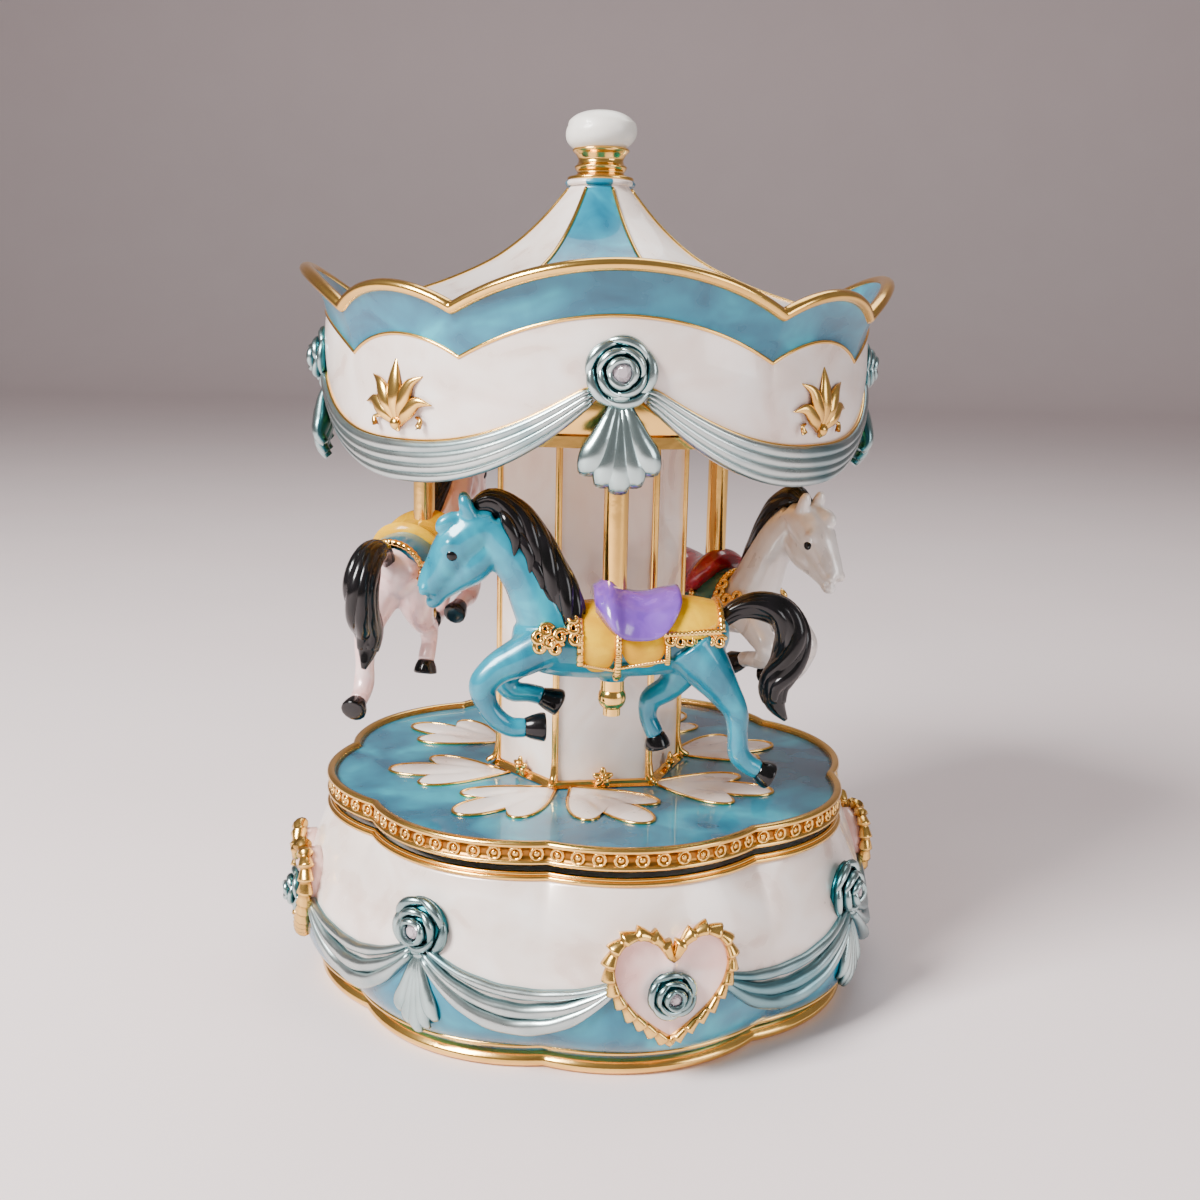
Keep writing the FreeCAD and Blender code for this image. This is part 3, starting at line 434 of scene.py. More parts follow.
gold = plated("gold_plate", (1.0, 0.61, 0.16), (0.50, 0.20, 0.03), 0.10)
# The next three also take painted shade in their hollows; on the silvers its teal is partly the real wash.
gold_relief = plated("gold_relief", (1.0, 0.62, 0.17), (0.30, 0.12, 0.02), 0.13, hollow=True)
silver = plated("silver_teal_plate", (0.52, 0.66, 0.65), (0.008, 0.10, 0.12), 0.14, hollow=True, tint=0.60)
drape_silver = plated("drape_silver", (0.58, 0.65, 0.63), (0.02, 0.19, 0.24), 0.20, hollow=True, tint=0.75)
steel = plated("satin_steel", (0.60, 0.60, 0.62), (0.40, 0.40, 0.42), 0.28)
brass = plated("satin_brass", (0.80, 0.60, 0.28), (0.50, 0.34, 0.14), 0.24)
cover_black = plain_enamel("cover_black", (0.02, 0.02, 0.022), (0.01, 0.01, 0.012), 0.35, 400.0, 0.2)


def stone():
    """Cut glass with a blush foil behind it."""
    f = Finish("cut_stone", Transmission_Weight=0.55, IOR=1.72, Coat_Weight=0.6, Coat_Roughness=0.02)
    foil = f.noise(900.0, 2.0)
    return f.wear(Base_Color=f.mix(foil, (0.98, 0.90, 0.93), (0.80, 0.62, 0.70)),
                  Roughness=foil * 0.05 + 0.01)


crystal = stone()
print(len(bpy.data.materials), "finishes mixed")


# %% [markdown]
# ## The lobed casting
# Seen from above, the base and the platform are eight circular lobes that meet in cusps.  If a lobe's
# middle lies at radius L, its cusps at radius C and half a lobe spans the angle h, the lobe is part of a
# circle whose centre is d from the axis, with d = (L² − C²) / (2 (L − C cos h)) and radius L − d.

# %% Lobed outlines
PHI = np.arange(0, 360, 0.9375)        # 48 steps to a lobe, so that every cusp falls on a column
HALF_LOBE = 22.5


def lobed(degrees, lobe, cusp):
    """Radius of the lobed outline at an angle from the front."""
    h = np.radians(np.abs((np.asarray(degrees) + HALF_LOBE) % 45 - HALF_LOBE))
    d = (lobe ** 2 - cusp ** 2) / (2 * (lobe - cusp * math.cos(math.radians(HALF_LOBE))))
    return d * np.cos(h) + np.sqrt((lobe - d) ** 2 - (d * np.sin(h)) ** 2)


def lobed_ring(profile):
    """Ring with a lobed outline: the profile is a closed run of (lobe radius, cusp radius, z)."""
    return np.stack([polar(lobed(PHI, lobe, cusp), PHI, z) for lobe, cusp, z in profile])


def rounded(lobe, cusp, z, radial, upright, count=12):
    """Closed oval profile for lobed_ring, with its half-sizes."""
    a = circle(count)
    return [(lobe + radial * c, cusp + radial * c, z + upright * s) for c, s in zip(np.cos(a), np.sin(a))]


SHELL_Z = [2.4, 5.0, 9.0, 14.0, 20.0, 25.0, 28.6]
SHELL_LOBE = [44.2, 46.6, 48.2, 48.3, 47.0, 45.2, 43.7]
SHELL_CUSP = [42.0, 44.6, 46.4, 46.6, 45.3, 43.3, 41.4]


def shell_radius(degrees, z):
    """Outside of the base: at the rims the cusps are crisp, on the belly the enamel has drowned them."""
    lobe, cusp = curve_at(SHELL_Z, SHELL_LOBE, z), curve_at(SHELL_Z, SHELL_CUSP, z)
    crisp = lobed(degrees, lobe, cusp)
    soft = cusp + 0.5 + (lobe - cusp - 0.5) * np.cos(np.radians(4 * np.asarray(degrees))) ** 2
    belly = np.clip(np.sin(np.pi * (np.asarray(z) - 2.4) / 26.2), 0, 1) ** 0.5
    return crisp + (soft - crisp) * belly * 0.8


def drape_line(degrees, sag=7.9, rose_z=19.0, heart_z=16.0):
    """Height of a drape hung between a rose (45 degrees) and a heart (0), a parabola over the angle."""
    from_rose = np.abs((np.asarray(degrees) % 90) - 45) / 45
    t = np.clip(from_rose / 0.78, 0, 1)
    return rose_z + (heart_z - rose_z) * t - 4 * sag * t * (1 - t)


# %% Base casting
shell_rows = np.linspace(2.4, 28.6, 72)[:, None]
outside = polar(shell_radius(PHI[None], shell_rows), PHI[None], shell_rows)
inside = [polar(r, PHI, z) for r, z in ((3.2, 28.6), (3.2, 26.2), (39.6, 26.2), (39.6, 2.4))]
shell_grid = np.concatenate([outside, np.stack(inside)])
over = np.concatenate([shell_rows - drape_line(PHI)[None], np.full((4, len(PHI)), -9.0)])
shell_mesh = to_mesh("base_shell", [shell_grid], wrap_rows=True, marks={"over_drape": [over]})
shade(shell_mesh, 71 * len(PHI))
piece("base_casting", shell_mesh, "base", "cream_enamel", base_enamel, "base_shell")

foot = [(40.4, 40.4, 0.0), (43.9, 41.7, 0.0), (44.9, 42.7, 0.35), (45.3, 43.1, 1.0), (45.1, 42.9, 1.6),
        (44.5, 42.3, 2.0), (44.2, 42.0, 2.4), (40.4, 40.4, 2.4)]
piece("base_foot_ring", to_mesh("base_foot", [lobed_ring(foot)], wrap_rows=True), "base", "gold", gold,
      "base_foot")
wire = lobed_ring(rounded(45.75, 43.65, 4.1, 0.42, 0.36))
piece("base_wire", to_mesh("base_wire", [wire], wrap_rows=True), "base", "gold", gold)
beads = [lobed_ring(rounded(43.45, 41.15, 29.0, 0.62, 0.42)),
         lobed_ring(rounded(43.15, 40.85, 29.55, 0.50, 0.34))]
piece("base_rim_beads", to_mesh("base_rim", beads, wrap_rows=True), "base", "gold", gold, "base_rim")

# %% [markdown]
# ## Ornaments soldered on
# Every ornament is first made facing the front in its own flat frame: u to the right, v up and w outwards.
# Then it is set on a radius and turned to its place.  A drape, a ribbon end or a petal is a bar with an
# oval section, thin at its ends.  A mark of painted shade grows where the section turns away from the
# viewer, so the flanks are painted darker than the crests that face it.

# %% Ornament helpers
def facing(grid, radius, z):
    """From (u, v, w) to the front of the carousel at a radius and height."""
    return np.stack([grid[..., 0], -(radius + grid[..., 2]), z + grid[..., 1]], -1)


def discs(profile, angles):
    """Rings about w, one for each (radius, height) pair, with a point at every angle."""
    c, s = np.cos(angles), np.sin(angles)
    return np.stack([np.stack([r * c, r * s, 0 * angles + h], -1) for r, h in profile])


def crest_to_flank_shade(grid, sides, power=1.5):
    """Painted shade: 0 on the crest of each bar made by tube() with its up side outwards, 1 along its
    flanks.
    """
    crest = np.sin(np.arange(grid.shape[1]) * 2 * np.pi / sides)
    return np.broadcast_to(np.clip(0.95 - crest, 0, 1)[None] ** power, grid.shape[:2])


def bar(points, wide, tall, rows=20, sides=10):
    """Tapering bar through (u, v, w) points with its up side outwards."""
    path = smooth(points, rows)
    wide = smooth(wide, rows)[:, 0]
    tall = smooth(tall, rows)[:, 0]
    return tube(path, wide, tall, sides, across=(0, 0, 1.0))


def crescent(radius, start, sweep, wide, tall, lift, lean=0.35):
    """Petal seen edge-on: an arc round the rose's middle, thick half-way and thin at both ends, that opens
    a little as it goes."""
    s = np.linspace(0, 1, 15)
    a = np.radians(start + sweep * s)
    r = radius * (0.94 + 0.12 * s)
    path = np.stack([r * np.cos(a), r * np.sin(a), lift + lean * np.sin(np.pi * s)], -1)
    swell = np.sin(np.pi * (0.08 + 0.84 * s)) ** 0.7
    return tube(path, wide * swell, tall * swell, 10, across=(0, 0, 1.0))


def rose(size, twist=0.0):
    """Rose facing the viewer: a domed seat and three rings of petals that overlap like roof
    tiles."""
    rings = ((0.34, 3, 120, 0, 165, 0.11, 0.17, 0.44), (0.57, 4, 90, 30, 118, 0.13, 0.17, 0.27),
             (0.82, 5, 72, 55, 92, 0.17, 0.15, 0.08))
    petals = []
    for radius, count, step, start, sweep, wide, tall, lift in rings:
        petals += [crescent(radius * size, step * i + start + twist, sweep, wide * size, tall * size,
                            lift * size) for i in range(count)]
    dome = np.array([(0.90, -0.10), (0.86, 0.02), (0.62, 0.16), (0.34, 0.34), (0.24, 0.40)]) * size
    seat = discs(dome, circle(24))
    marks = [crest_to_flank_shade(p, 10) for p in petals]
    seat = poled(seat)
    # The seat under the petals is marked 1 throughout: it is painted in full shade.
    return petals + [seat], marks + [np.full(seat.shape[:2], 1.0)]


def cut_stone(size):
    """Round brilliant: rings of eight corners, each turned half a step from the last, joined by flat
    facets."""
    rows = []
    for i, (r, h) in enumerate([(0.50, 0.62), (0.86, 0.34), (1.0, 0.12), (0.95, -0.05)]):
        corners = circle(8) + i * np.pi / 8
        rows.append(discs([(r * size, h * size)], corners)[0])
    return poled(np.stack(rows))


def set_round(ornament, marks, radius, z, first, turn=0.0, count=4):
    """Copies of an ornament on a radius, with their marks repeated as often."""
    placed = around([facing(g, radius, z) for g in ornament], count, first + turn)
    return placed, marks * count


def ornament(name, node, made, body, slot, finish):
    """Piece from (grids, marks of painted shade) in place of a CAD node."""
    return piece(name, to_mesh(node, made[0], marks={"hollow": made[1]}), body, slot, finish, node)


def jewelled(name, grids, body, *replaced):
    """Cut stones keep their facets: their faces stay flat."""
    mesh = to_mesh(name, grids)
    shade(mesh, 0)
    return piece(name, mesh, body, "crystal", crystal, *replaced)


# %% Roses and stones of the base
made = set_round(*rose(4.9, 20), 46.8, 21.0, 45)
ornament("base_rose_set", "base_roses", made, "base", "silver_teal", silver)
jewelled("base_stones", set_round([cut_stone(1.15)], [], 49.0, 21.0, 45)[0], "base", "base_crystals")
made = set_round(*rose(3.8, 70), 49.0, 14.6, 0)
ornament("heart_rose_set", "heart_roses", made, "base", "silver_teal", silver)
jewelled("heart_stones", set_round([cut_stone(1.0)], [], 50.6, 14.6, 0)[0], "base", "heart_crystals")


# %% [markdown]
# ## Drapes of the base
# Cloth hung between two points gathers there and opens into folds between them.  Three bars with different
# sag share their ends, so they fan out just like that.  Their path is computed on the shell itself, at the
# radius that the lobed casting has at that angle and height.

# %% Base drapes
def drape_folds(side):
    """Folds from a rose at 45 degrees towards the heart on one side of it."""
    grids = []
    for sag, lift, wide, tall in ((3.6, 0.5, 0.75, 0.9), (5.7, 0.0, 0.95, 1.15), (7.9, -0.4, 1.15, 1.25)):
        t = np.linspace(0.03, 0.80, 34)
        degrees = 45 - side * 45 * t
        z = drape_line(degrees, sag, 18.6 + lift, 15.4 + lift)
        path = polar(shell_radius(degrees, z) + 0.15, degrees, z)
        swell = 0.45 + 0.75 * np.sin(np.pi * np.clip((t - 0.03) / 0.77, 0, 1)) ** 0.8
        ripple = 1 + 0.06 * np.sin(40 * t + sag)
        grids.append(tube(path, wide * swell * ripple, tall * (0.6 + 0.4 * swell), 12,
                          polar(1, degrees, 0)))
    return grids


drapes = around(drape_folds(1) + drape_folds(-1), 4)
marks = [crest_to_flank_shade(g, 12, 1.2) * 0.8 for g in drapes]
ornament("base_drapes", "base_swags", (drapes, marks), "base", "silver_teal", drape_silver)


# %% Ribbon tails
def ribbon_tail(length, spread, size):
    """Tails of a knotted ribbon: five pleats that leave the knot together and flare towards their ends."""
    pleats = []
    folds = ((-1.0, 0.80, 0.95), (1.0, 0.80, 0.925), (-0.48, 0.93, 0.90), (0.48, 0.93, 0.875),
             (0.0, 1.0, 0.95))
    for side, drop, lift in folds:
        u = side * spread
        path = [(0.12 * u, 0, 0.2), (0.32 * u, -0.25 * length * drop, 0.75 * size),
                (0.66 * u, -0.62 * length * drop, lift * size),
                (0.98 * u, -0.92 * length * drop, 1.0 * size), (1.0 * u, -length * drop, 0.5 * size)]
        wide = np.array([0.35, 0.70, 1.15, 1.30, 0.85]) * size
        tall = np.array([0.30, 0.60, 0.75, 0.95, 0.45]) * size
        pleats.append(bar(path, wide, tall, 18, 10))
    pleats.append(bar([(-0.9 * size, 0.2, 0.3), (0, 0.35, 1.0 * size), (0.9 * size, 0.2, 0.3)],
                      [0.4, 0.55 * size, 0.4], [0.3, 0.7 * size, 0.3], 12, 10))
    return pleats, [crest_to_flank_shade(g, 10, 1.3) for g in pleats]


made = set_round(*ribbon_tail(12.2, 2.9, 1.1), 47.2, 17.4, 45)
ornament("base_ribbon_tails", "base_ribbons", made, "base", "silver_teal", silver)

# %% [markdown]
# ## Hearts
# A heart is a dish of blush enamel inside a gold wreath.  Its outline is a smooth curve through nine points
# of one half, mirrored.  The wreath is one bar along that outline whose outer side swells and drops like
# the teeth of a saw, so it reads as small leaves lapped over each other and pointing at the tip.

# %% Hearts
HEART_HALF = [(0, 0.50), (0.20, 0.76), (0.52, 0.88), (0.86, 0.72), (1.0, 0.36), (0.93, 0.0), (0.70, -0.36),
              (0.36, -0.68), (0, -0.96)]
HEART_SIZE, HEART_RADIUS, HEART_Z = 9.9, 48.7, 15.8
half = smooth(HEART_HALF, 97)
outline = np.concatenate([half, (half * [-1, 1])[::-1][1:-1]])


def bowed(u, v):
    """How far the heart leans back from its flat plane, to follow the belly of the base."""
    return -0.011 * u ** 2 - 0.012 * v ** 2


def heart_dish():
    """Dish inside the wreath: it rises to its rim, and a soft ridge comes down from the notch."""
    rho = np.linspace(0.02, 1, 22)[:, None]
    centre = np.array([0, 0.02])
    flat = centre + (outline[None] * 0.86 - centre) * rho[..., None]
    u, v = flat[..., 0] * HEART_SIZE, flat[..., 1] * HEART_SIZE
    ridge = 0.75 * np.exp(-(u / 1.2) ** 2) * np.clip((v + 2) / 6, 0, 1)
    front = np.stack([u, v, bowed(u, v) - 0.1 + 0.9 * rho ** 3 + ridge * (1 - rho ** 6)], -1)
    back = np.stack([u[-1:], v[-1:], bowed(u[-1:], v[-1:]) - 2.2], -1)
    return poled(np.concatenate([front, back]))


def heart_wreath():
    """Closed bar along the heart with saw-toothed leaves on its outside, and a mark of painted shade for it.
    """
    count = len(outline)
    s = np.arange(count) / count
    run = np.gradient(np.concatenate([outline[-2:], outline, outline[:2]]), axis=0)[2:-2]
    normal = unit(np.stack([run[:, 1], -run[:, 0]], -1))
    normal *= np.sign((normal * outline).sum(1).mean())
    down = np.abs(2 * s - 1)                    # 1 at the notch, 0 at the tip
    tooth = (13.5 * (1 - down)) % 1.0           # rises along each leaf and drops at its point
    leaf = tooth ** 1.2
    a = circle(12)
    outwards = np.clip(np.cos(a), 0, 1)[None] * (0.95 * leaf)[:, None]
    wide = 0.62 * np.cos(a)[None] + outwards - 0.30
    tall = (0.85 + 0.55 * leaf)[:, None] * np.sin(a)[None] + 0.15
    flat = outline * 0.93 * HEART_SIZE
    u = flat[:, 0, None] + normal[:, 0, None] * wide
    v = flat[:, 1, None] + normal[:, 1, None] * wide
    # Painted shade: dark where each leaf runs under the next one, and on the back of the bar against the
    # shell.
    dark = np.clip(1 - tooth * 2.2, 0, 1)[:, None] * 0.8 + np.clip(-np.sin(a), 0, 1)[None] * 0.5
    return np.stack([u, v, bowed(u, v) + 0.55 + tall], -1), np.clip(dark, 0, 1)


dishes = around([facing(heart_dish(), HEART_RADIUS, HEART_Z)], 4)
piece("heart_dishes", to_mesh("heart_plates", dishes), "base", "pink_pearl", blush, "heart_plates")
wreath, dark = heart_wreath()
wreaths = around([facing(wreath, HEART_RADIUS, HEART_Z)], 4)
wreath_mesh = to_mesh("heart_frames", wreaths, wrap_rows=True, marks={"hollow": [dark] * 4})
piece("heart_wreaths", wreath_mesh, "base", "gold", gold_relief, "heart_frames")


# %% [markdown]
# ## Platform
# The platform repeats the lobes of the base a little smaller.  Its turquoise top lies sunk inside a gold
# band, and round the band runs a row of eighty-eight small rings, each with a dot in the middle, eleven to
# a lobe.  They are spaced by the distance walked along the lobe, not by the angle, or they would crowd
# towards the cusps.

# %% Platform plate and its gold band
def platform_top():
    """Plate: its top surface is level enamel with the faintest swell, then a straight edge and a flat
    underside."""
    share = np.linspace(0, 1, 40)[:, None]
    r = 2.0 + (lobed(PHI, 43.15, 40.75)[None] - 2.0) * share
    swell = 0.06 * np.sin(np.radians(5 * PHI))[None] * np.sin(7 * share) * share
    top = polar(r, PHI[None], 33.55 + swell - 0.1 * share ** 8)
    under = np.stack([polar(lobed(PHI, 43.15, 40.75), PHI, 31.2), polar(2.0, PHI, 31.2)])
    return np.concatenate([top, under])


plate_mesh = to_mesh("platform_plate", [platform_top()], wrap_rows=True)
shade(plate_mesh, 39 * len(PHI))
piece("platform_top", plate_mesh, "turntable", "turquoise_enamel", turquoise, "platform_plate")


def on_lobe(count):
    """Angles and facing directions of points spaced evenly along one lobe, in degrees from its middle."""
    fine = np.linspace(-HALF_LOBE, HALF_LOBE, 400)
    line = polar(lobed(fine, 43.55, 41.15), fine, 0)
    walked = np.concatenate([[0], np.cumsum(np.linalg.norm(np.diff(line, axis=0), axis=1))])
    place = np.interp((np.arange(count) + 0.5) / count * walked[-1], walked, fine)
    run = np.stack([np.interp(place, fine, c) for c in np.gradient(line, axis=0).T], -1)
    return place, np.degrees(np.arctan2(run[:, 1], run[:, 0]))


def ring_and_dot():
    """One ring with its dot, facing the front: a torus with a shallow section, and a round cap."""
    a = circle(10)[:, None]
    b = circle(5)[None]
    radial = 0.92 + 0.26 * np.cos(b)
    ring = np.stack([radial * np.cos(a), radial * np.sin(a), 0.30 * np.sin(b) + 0 * a], -1)
    c = circle(8)
    cap = discs([(0.5, -0.1), (0.38, 0.2)], c)
    return ring, poled(cap)


band = [(42.6, 40.2, 31.0), (43.5, 41.1, 30.85), (43.98, 41.58, 31.1), (44.05, 41.65, 31.4),
        (43.85, 41.45, 31.65), (43.5, 41.1, 31.75), (43.45, 41.05, 32.5), (43.5, 41.1, 33.45),
        (43.8, 41.4, 33.5), (44.08, 41.68, 33.8), (44.0, 41.6, 34.2), (43.6, 41.2, 34.48),
        (43.0, 40.6, 34.42), (42.75, 40.35, 34.1), (42.6, 40.2, 33.5)]
band_grid = lobed_ring(band)
ring, dot = ring_and_dot()
places, faces_to = on_lobe(11)
rings, dots = [], []
for degrees, heading in zip(places, faces_to):
    spot = polar(lobed(degrees, 43.55, 41.15), degrees, 32.6)
    for store, shape in ((rings, ring), (dots, dot)):
        store.append(turned(facing(shape, 0, 0), heading) + spot)
# Painted shade in the hollows of the band, for every point of its profile
BAND_SHADE = np.array([0.6, 0.3, 0, 0, 0.3, 0.9, 1.0, 0.9, 0.3, 0, 0, 0, 0, 0.3, 0.6])
band_marks = [np.broadcast_to(BAND_SHADE[:, None], band_grid.shape[:2])]
band_marks += [np.zeros(r.shape[:2]) for r in rings] * 8
band_mesh = to_mesh("platform_rim", [band_grid] + around(rings, 8), wrap_rows=True,
                    marks={"hollow": band_marks})
piece("platform_band", band_mesh, "turntable", "gold", gold_relief, "platform_rim")
dot_mesh = to_mesh("platform_dots", around(dots, 8),
                   marks={"hollow": [np.zeros(d.shape[:2]) for d in dots] * 8})
piece("platform_dots", dot_mesh, "turntable", "gold", gold_relief)

# %% [markdown]
# ## Enamelled leaves
# Eight leaves lie on the platform, fanned out unevenly from the foot of the column.  Each is drawn from its
# point by how far it reaches in every direction: a long lobe in the middle, a shorter one on each side.
# The enamel stands domed inside a gold wire, as real cloisonné does.

# %% Leaves on the platform
# Root x, root y and heading of every leaf
LEAVES = [(-8.6, -13.0, -64.0), (-6.4, -13.2, 23.0), (7.0, -13.4, 65.0), (-14.6, -4.0, -107.0),
          (-12.0, 13.0, -134.0), (-1.0, 15.6, 178.0), (10.0, 12.4, 132.0), (14.8, 1.0, 96.0)]


def leaf_reach(theta):
    """Reach of a leaf from its point in the direction theta (degrees): the furthest of three rounded
    lobes."""
    reach = np.zeros_like(theta)
    for centre, half_width, length in ((0, 17, 20.0), (-26, 16, 15.6), (26, 16, 15.6)):
        near = np.clip(1 - ((theta - centre) / half_width) ** 2, 0, 1)
        reach = np.maximum(reach, length * near ** 0.42)
    return reach


theta = np.linspace(-41.9, 41.9, 129)
reach = leaf_reach(theta)
edge = np.stack([reach * np.sin(np.radians(theta)), reach * np.cos(np.radians(theta))], -1)
edge = np.concatenate([edge, [[0, 0]]])


def leaf_dome():
    """Cushion over the leaf: rings drawn towards its middle while they rise, dented between the lobes."""
    middle = np.array([0, 11.0])
    rows = []
    for share in np.linspace(1, 0.03, 16):
        ring_at = middle + (edge - middle) * share
        rise = 0.62 * (1 - share ** 3.0) ** 0.6
        bearing = np.abs(np.arctan2(ring_at[:, 0], np.maximum(ring_at[:, 1], 0.1)))
        vein = 0.22 * np.exp(-((bearing - 0.235) / 0.07) ** 2)
        rows.append(np.column_stack([ring_at[:, 0], -ring_at[:, 1], 33.6 + rise - vein * (1 - share ** 4)]))
    foot_row = np.column_stack([edge[:, 0], -edge[:, 1], np.full(len(edge), 33.4)])
    return poled(np.stack([foot_row] + rows))


def fanned(grid):
    """The grid once for every leaf, turned to its heading and moved to its root."""
    return [turned(grid, heading) + [x, y, 0] for x, y, heading in LEAVES]


leaves = fanned(leaf_dome())
piece("platform_leaves", to_mesh("platform_petals", leaves), "turntable", "cream_enamel", cream,
      "platform_petals")
wire_path = np.column_stack([edge[:, 0], -edge[:, 1], np.full(len(edge), 33.72)])
wires = fanned(tube(np.concatenate([wire_path, wire_path[:1]]), 0.26, 0.26, 6))
piece("leaf_wires", to_mesh("leaf_wires", wires), "turntable", "gold", gold)

# %% [markdown]
# ## Column
# The column stays as the mechanical model has it, a hexagonal tube.  What it gets is a finish, and at its
# foot a gold claw on every corner and a small flower against every face.

# %% Foot of the column
COLUMN_TURN, COLUMN_RADIUS = -5.3, 15.3
FACE_RADIUS = COLUMN_RADIUS * math.cos(math.radians(30))


def claw():
    """Corner moulding that comes down the edge of the column and runs out over the platform."""
    path = smooth([(COLUMN_RADIUS + 0.15, 39.5), (COLUMN_RADIUS + 0.3, 36.8), (COLUMN_RADIUS + 0.9, 35.0),
                   (COLUMN_RADIUS + 2.2, 34.25)], 16)
    line = np.column_stack([np.zeros(16), -path[:, 0], path[:, 1]])
    grow = np.linspace(0.5, 1.0, 16) * np.sin(np.linspace(0.35, 1, 16) * 3.0) ** 0.4
    return tube(line, 0.85 * grow, 0.7 * grow, 10, across=(0, -1.0, 0))


def little_flower():
    """Five round petals and a heart, lying against a face of the column."""
    centre = np.array([0, 0, 0.35])
    petals = []
    for degrees in np.arange(18, 378, 72):
        out = np.array([math.cos(math.radians(degrees)), math.sin(math.radians(degrees)), 0])
        path = [centre, centre + out * 0.9, centre + out * 1.7]
        petals.append(bar(path, [0.25, 0.62, 0.25], [0.25, 0.45, 0.2], 8, 8))
    heart = [(0, -0.5, 0.7), (0, 0, 0.9), (0, 0.5, 0.7)]
    petals.append(bar(heart, [0.2, 0.5, 0.2], [0.2, 0.45, 0.2], 8, 8))
    return petals


skirting = np.array([[FACE_RADIUS + 0.1, 34.7], [FACE_RADIUS + 0.5, 34.5], [FACE_RADIUS + 0.8, 34.1],
                     [FACE_RADIUS + 1.2, 33.7], [FACE_RADIUS + 0.1, 33.6]])
sixth = np.radians(np.arange(0, 360, 60) + 30)
foot_ring = np.stack([polar(r / math.cos(math.radians(30)), np.degrees(sixth), z) for r, z in skirting])
flowers = [turned(facing(g, FACE_RADIUS + 0.9, 35.4), 60 * i) for i in range(6) for g in little_flower()]
claws = [turned(claw(), 30 + 60 * i) for i in range(6)]
shapes = [turned(g, COLUMN_TURN) for g in claws + flowers]
piece("column_claws", to_mesh("column_claws", shapes), "turntable", "gold", gold)
ring_mesh = to_mesh("column_foot", [turned(foot_ring, COLUMN_TURN)], wrap_rows=True)
shade(ring_mesh, 0)
piece("column_skirting", ring_mesh, "turntable", "gold", gold, "column_foot")


# %% [markdown]
# ## Canopy
# The canopy is one flared band.  Its upper edge is cut into scallops, a wide one over every rose and a
# narrow one over every lily, each a part of a circle.  Its lower edge hangs like a curtain, high at the
# roses and low under the lilies.  Between the edges the band is described by how far a point lies below the
# rim: the first few millimetres curl outwards in turquoise, the rest is a cream cushion.

# %% Edges of the canopy
CANOPY_TURN = -10.4
PEAK_Z, NARROW_PEAK_Z, CUSP_Z, WIDE_HALF = 115.0, 112.0, 109.0, 30.3
SWAG_LOW, SWAG_HIGH = 84.9, 97.5
WIRE_DROP = 6.6                        # height of the turquoise band under the rim
wide_part = np.linspace(-WIDE_HALF, WIDE_HALF, 97)
narrow_part = np.linspace(WIDE_HALF, 90 - WIDE_HALF, 57)[1:-1]
ALPHA = np.concatenate([np.concatenate([wide_part, narrow_part]) + 90 * i for i in range(4)])


def from_rose(alpha):
    """Angle to the nearest rose, from 0 to 45 degrees."""
    return np.abs((np.asarray(alpha) + 45) % 90 - 45)


def arc_height(x, half_width, height):
    """Height over its chord of a circular arc, x away from its middle."""
    radius = (half_width ** 2 + height ** 2) / (2 * height)
    return np.sqrt(np.clip(radius ** 2 - x ** 2, 0, None)) - radius + height


def rim_height(alpha):
    """Upper edge: wide scallops over the roses, narrow ones over the lilies."""
    a = from_rose(alpha)
    reach = 45.2
    wide = arc_height(reach * np.sin(np.radians(a)), reach * math.sin(math.radians(WIDE_HALF)),
                      PEAK_Z - CUSP_Z)
    narrow = arc_height(reach * np.sin(np.radians(45 - a)), reach * math.sin(math.radians(45 - WIDE_HALF)),
                        NARROW_PEAK_Z - CUSP_Z)
    return CUSP_Z + np.where(a < WIDE_HALF, wide, narrow)


def hem_height(alpha):
    """Lower edge: falls steeply beside a rose and runs level under a lily."""
    s = np.clip((from_rose(alpha) - 4) / 41, 0, 1)
    return SWAG_LOW + (SWAG_HIGH - SWAG_LOW) * (1 - s) ** 2.34


def skirt_radius(alpha, z):
    """Outside of the skirt: a cushion up to the wire, then a curl that ends at the gold rim."""
    rim = rim_height(alpha)
    rim_r = 44.9 + (rim - CUSP_Z) * 0.26
    body = curve_at([84.0, 91.0, 98.0, 103.0, 109.0], [40.2, 41.5, 42.4, 42.7, 43.0], np.minimum(z, 109.0))
    hem = hem_height(alpha)
    puff = 0.55 * np.sin(np.pi * np.clip((z - hem) / (rim - WIRE_DROP - hem), 0, 1))
    curl = np.clip(1 - (rim - z) / WIRE_DROP, 0, 1) ** 1.7
    return body + puff + (rim_r - body) * curl


# %% Skirt
share = np.concatenate([np.linspace(0, 0.62, 26), np.linspace(0.62, 1, 24)[1:]])[:, None]
skirt_z = hem_height(ALPHA)[None] + (rim_height(ALPHA) - hem_height(ALPHA))[None] * share
outer = polar(skirt_radius(ALPHA[None], skirt_z), ALPHA[None] + CANOPY_TURN, skirt_z)
inner = polar(skirt_radius(ALPHA[None], skirt_z) - 1.3, ALPHA[None] + CANOPY_TURN, skirt_z)[::-1]
over = skirt_z - (rim_height(ALPHA)[None] - WIRE_DROP)
skirt_mesh = to_mesh("canopy_skirt", [np.concatenate([outer, inner])], wrap_rows=True,
                     marks={"over_wire": [np.concatenate([over, over[::-1]])]})
piece("canopy_band", skirt_mesh, "turntable", "cream_enamel", skirt_enamel, "canopy_skirt")


def hoop(z, radius, wide, tall):
    """Closed wire round the canopy at given heights and radii, one for every angle of ALPHA."""
    path = polar(radius, ALPHA + CANOPY_TURN, z)
    tangent = unit(np.roll(path, -1, 0) - np.roll(path, 1, 0))
    out = polar(1.0, ALPHA + CANOPY_TURN, 0)
    up = unit(np.cross(out, tangent))
    a = circle(12)[None, :, None]
    return path[:, None] + out[:, None] * np.cos(a) * tall + up[:, None] * np.sin(a) * wide


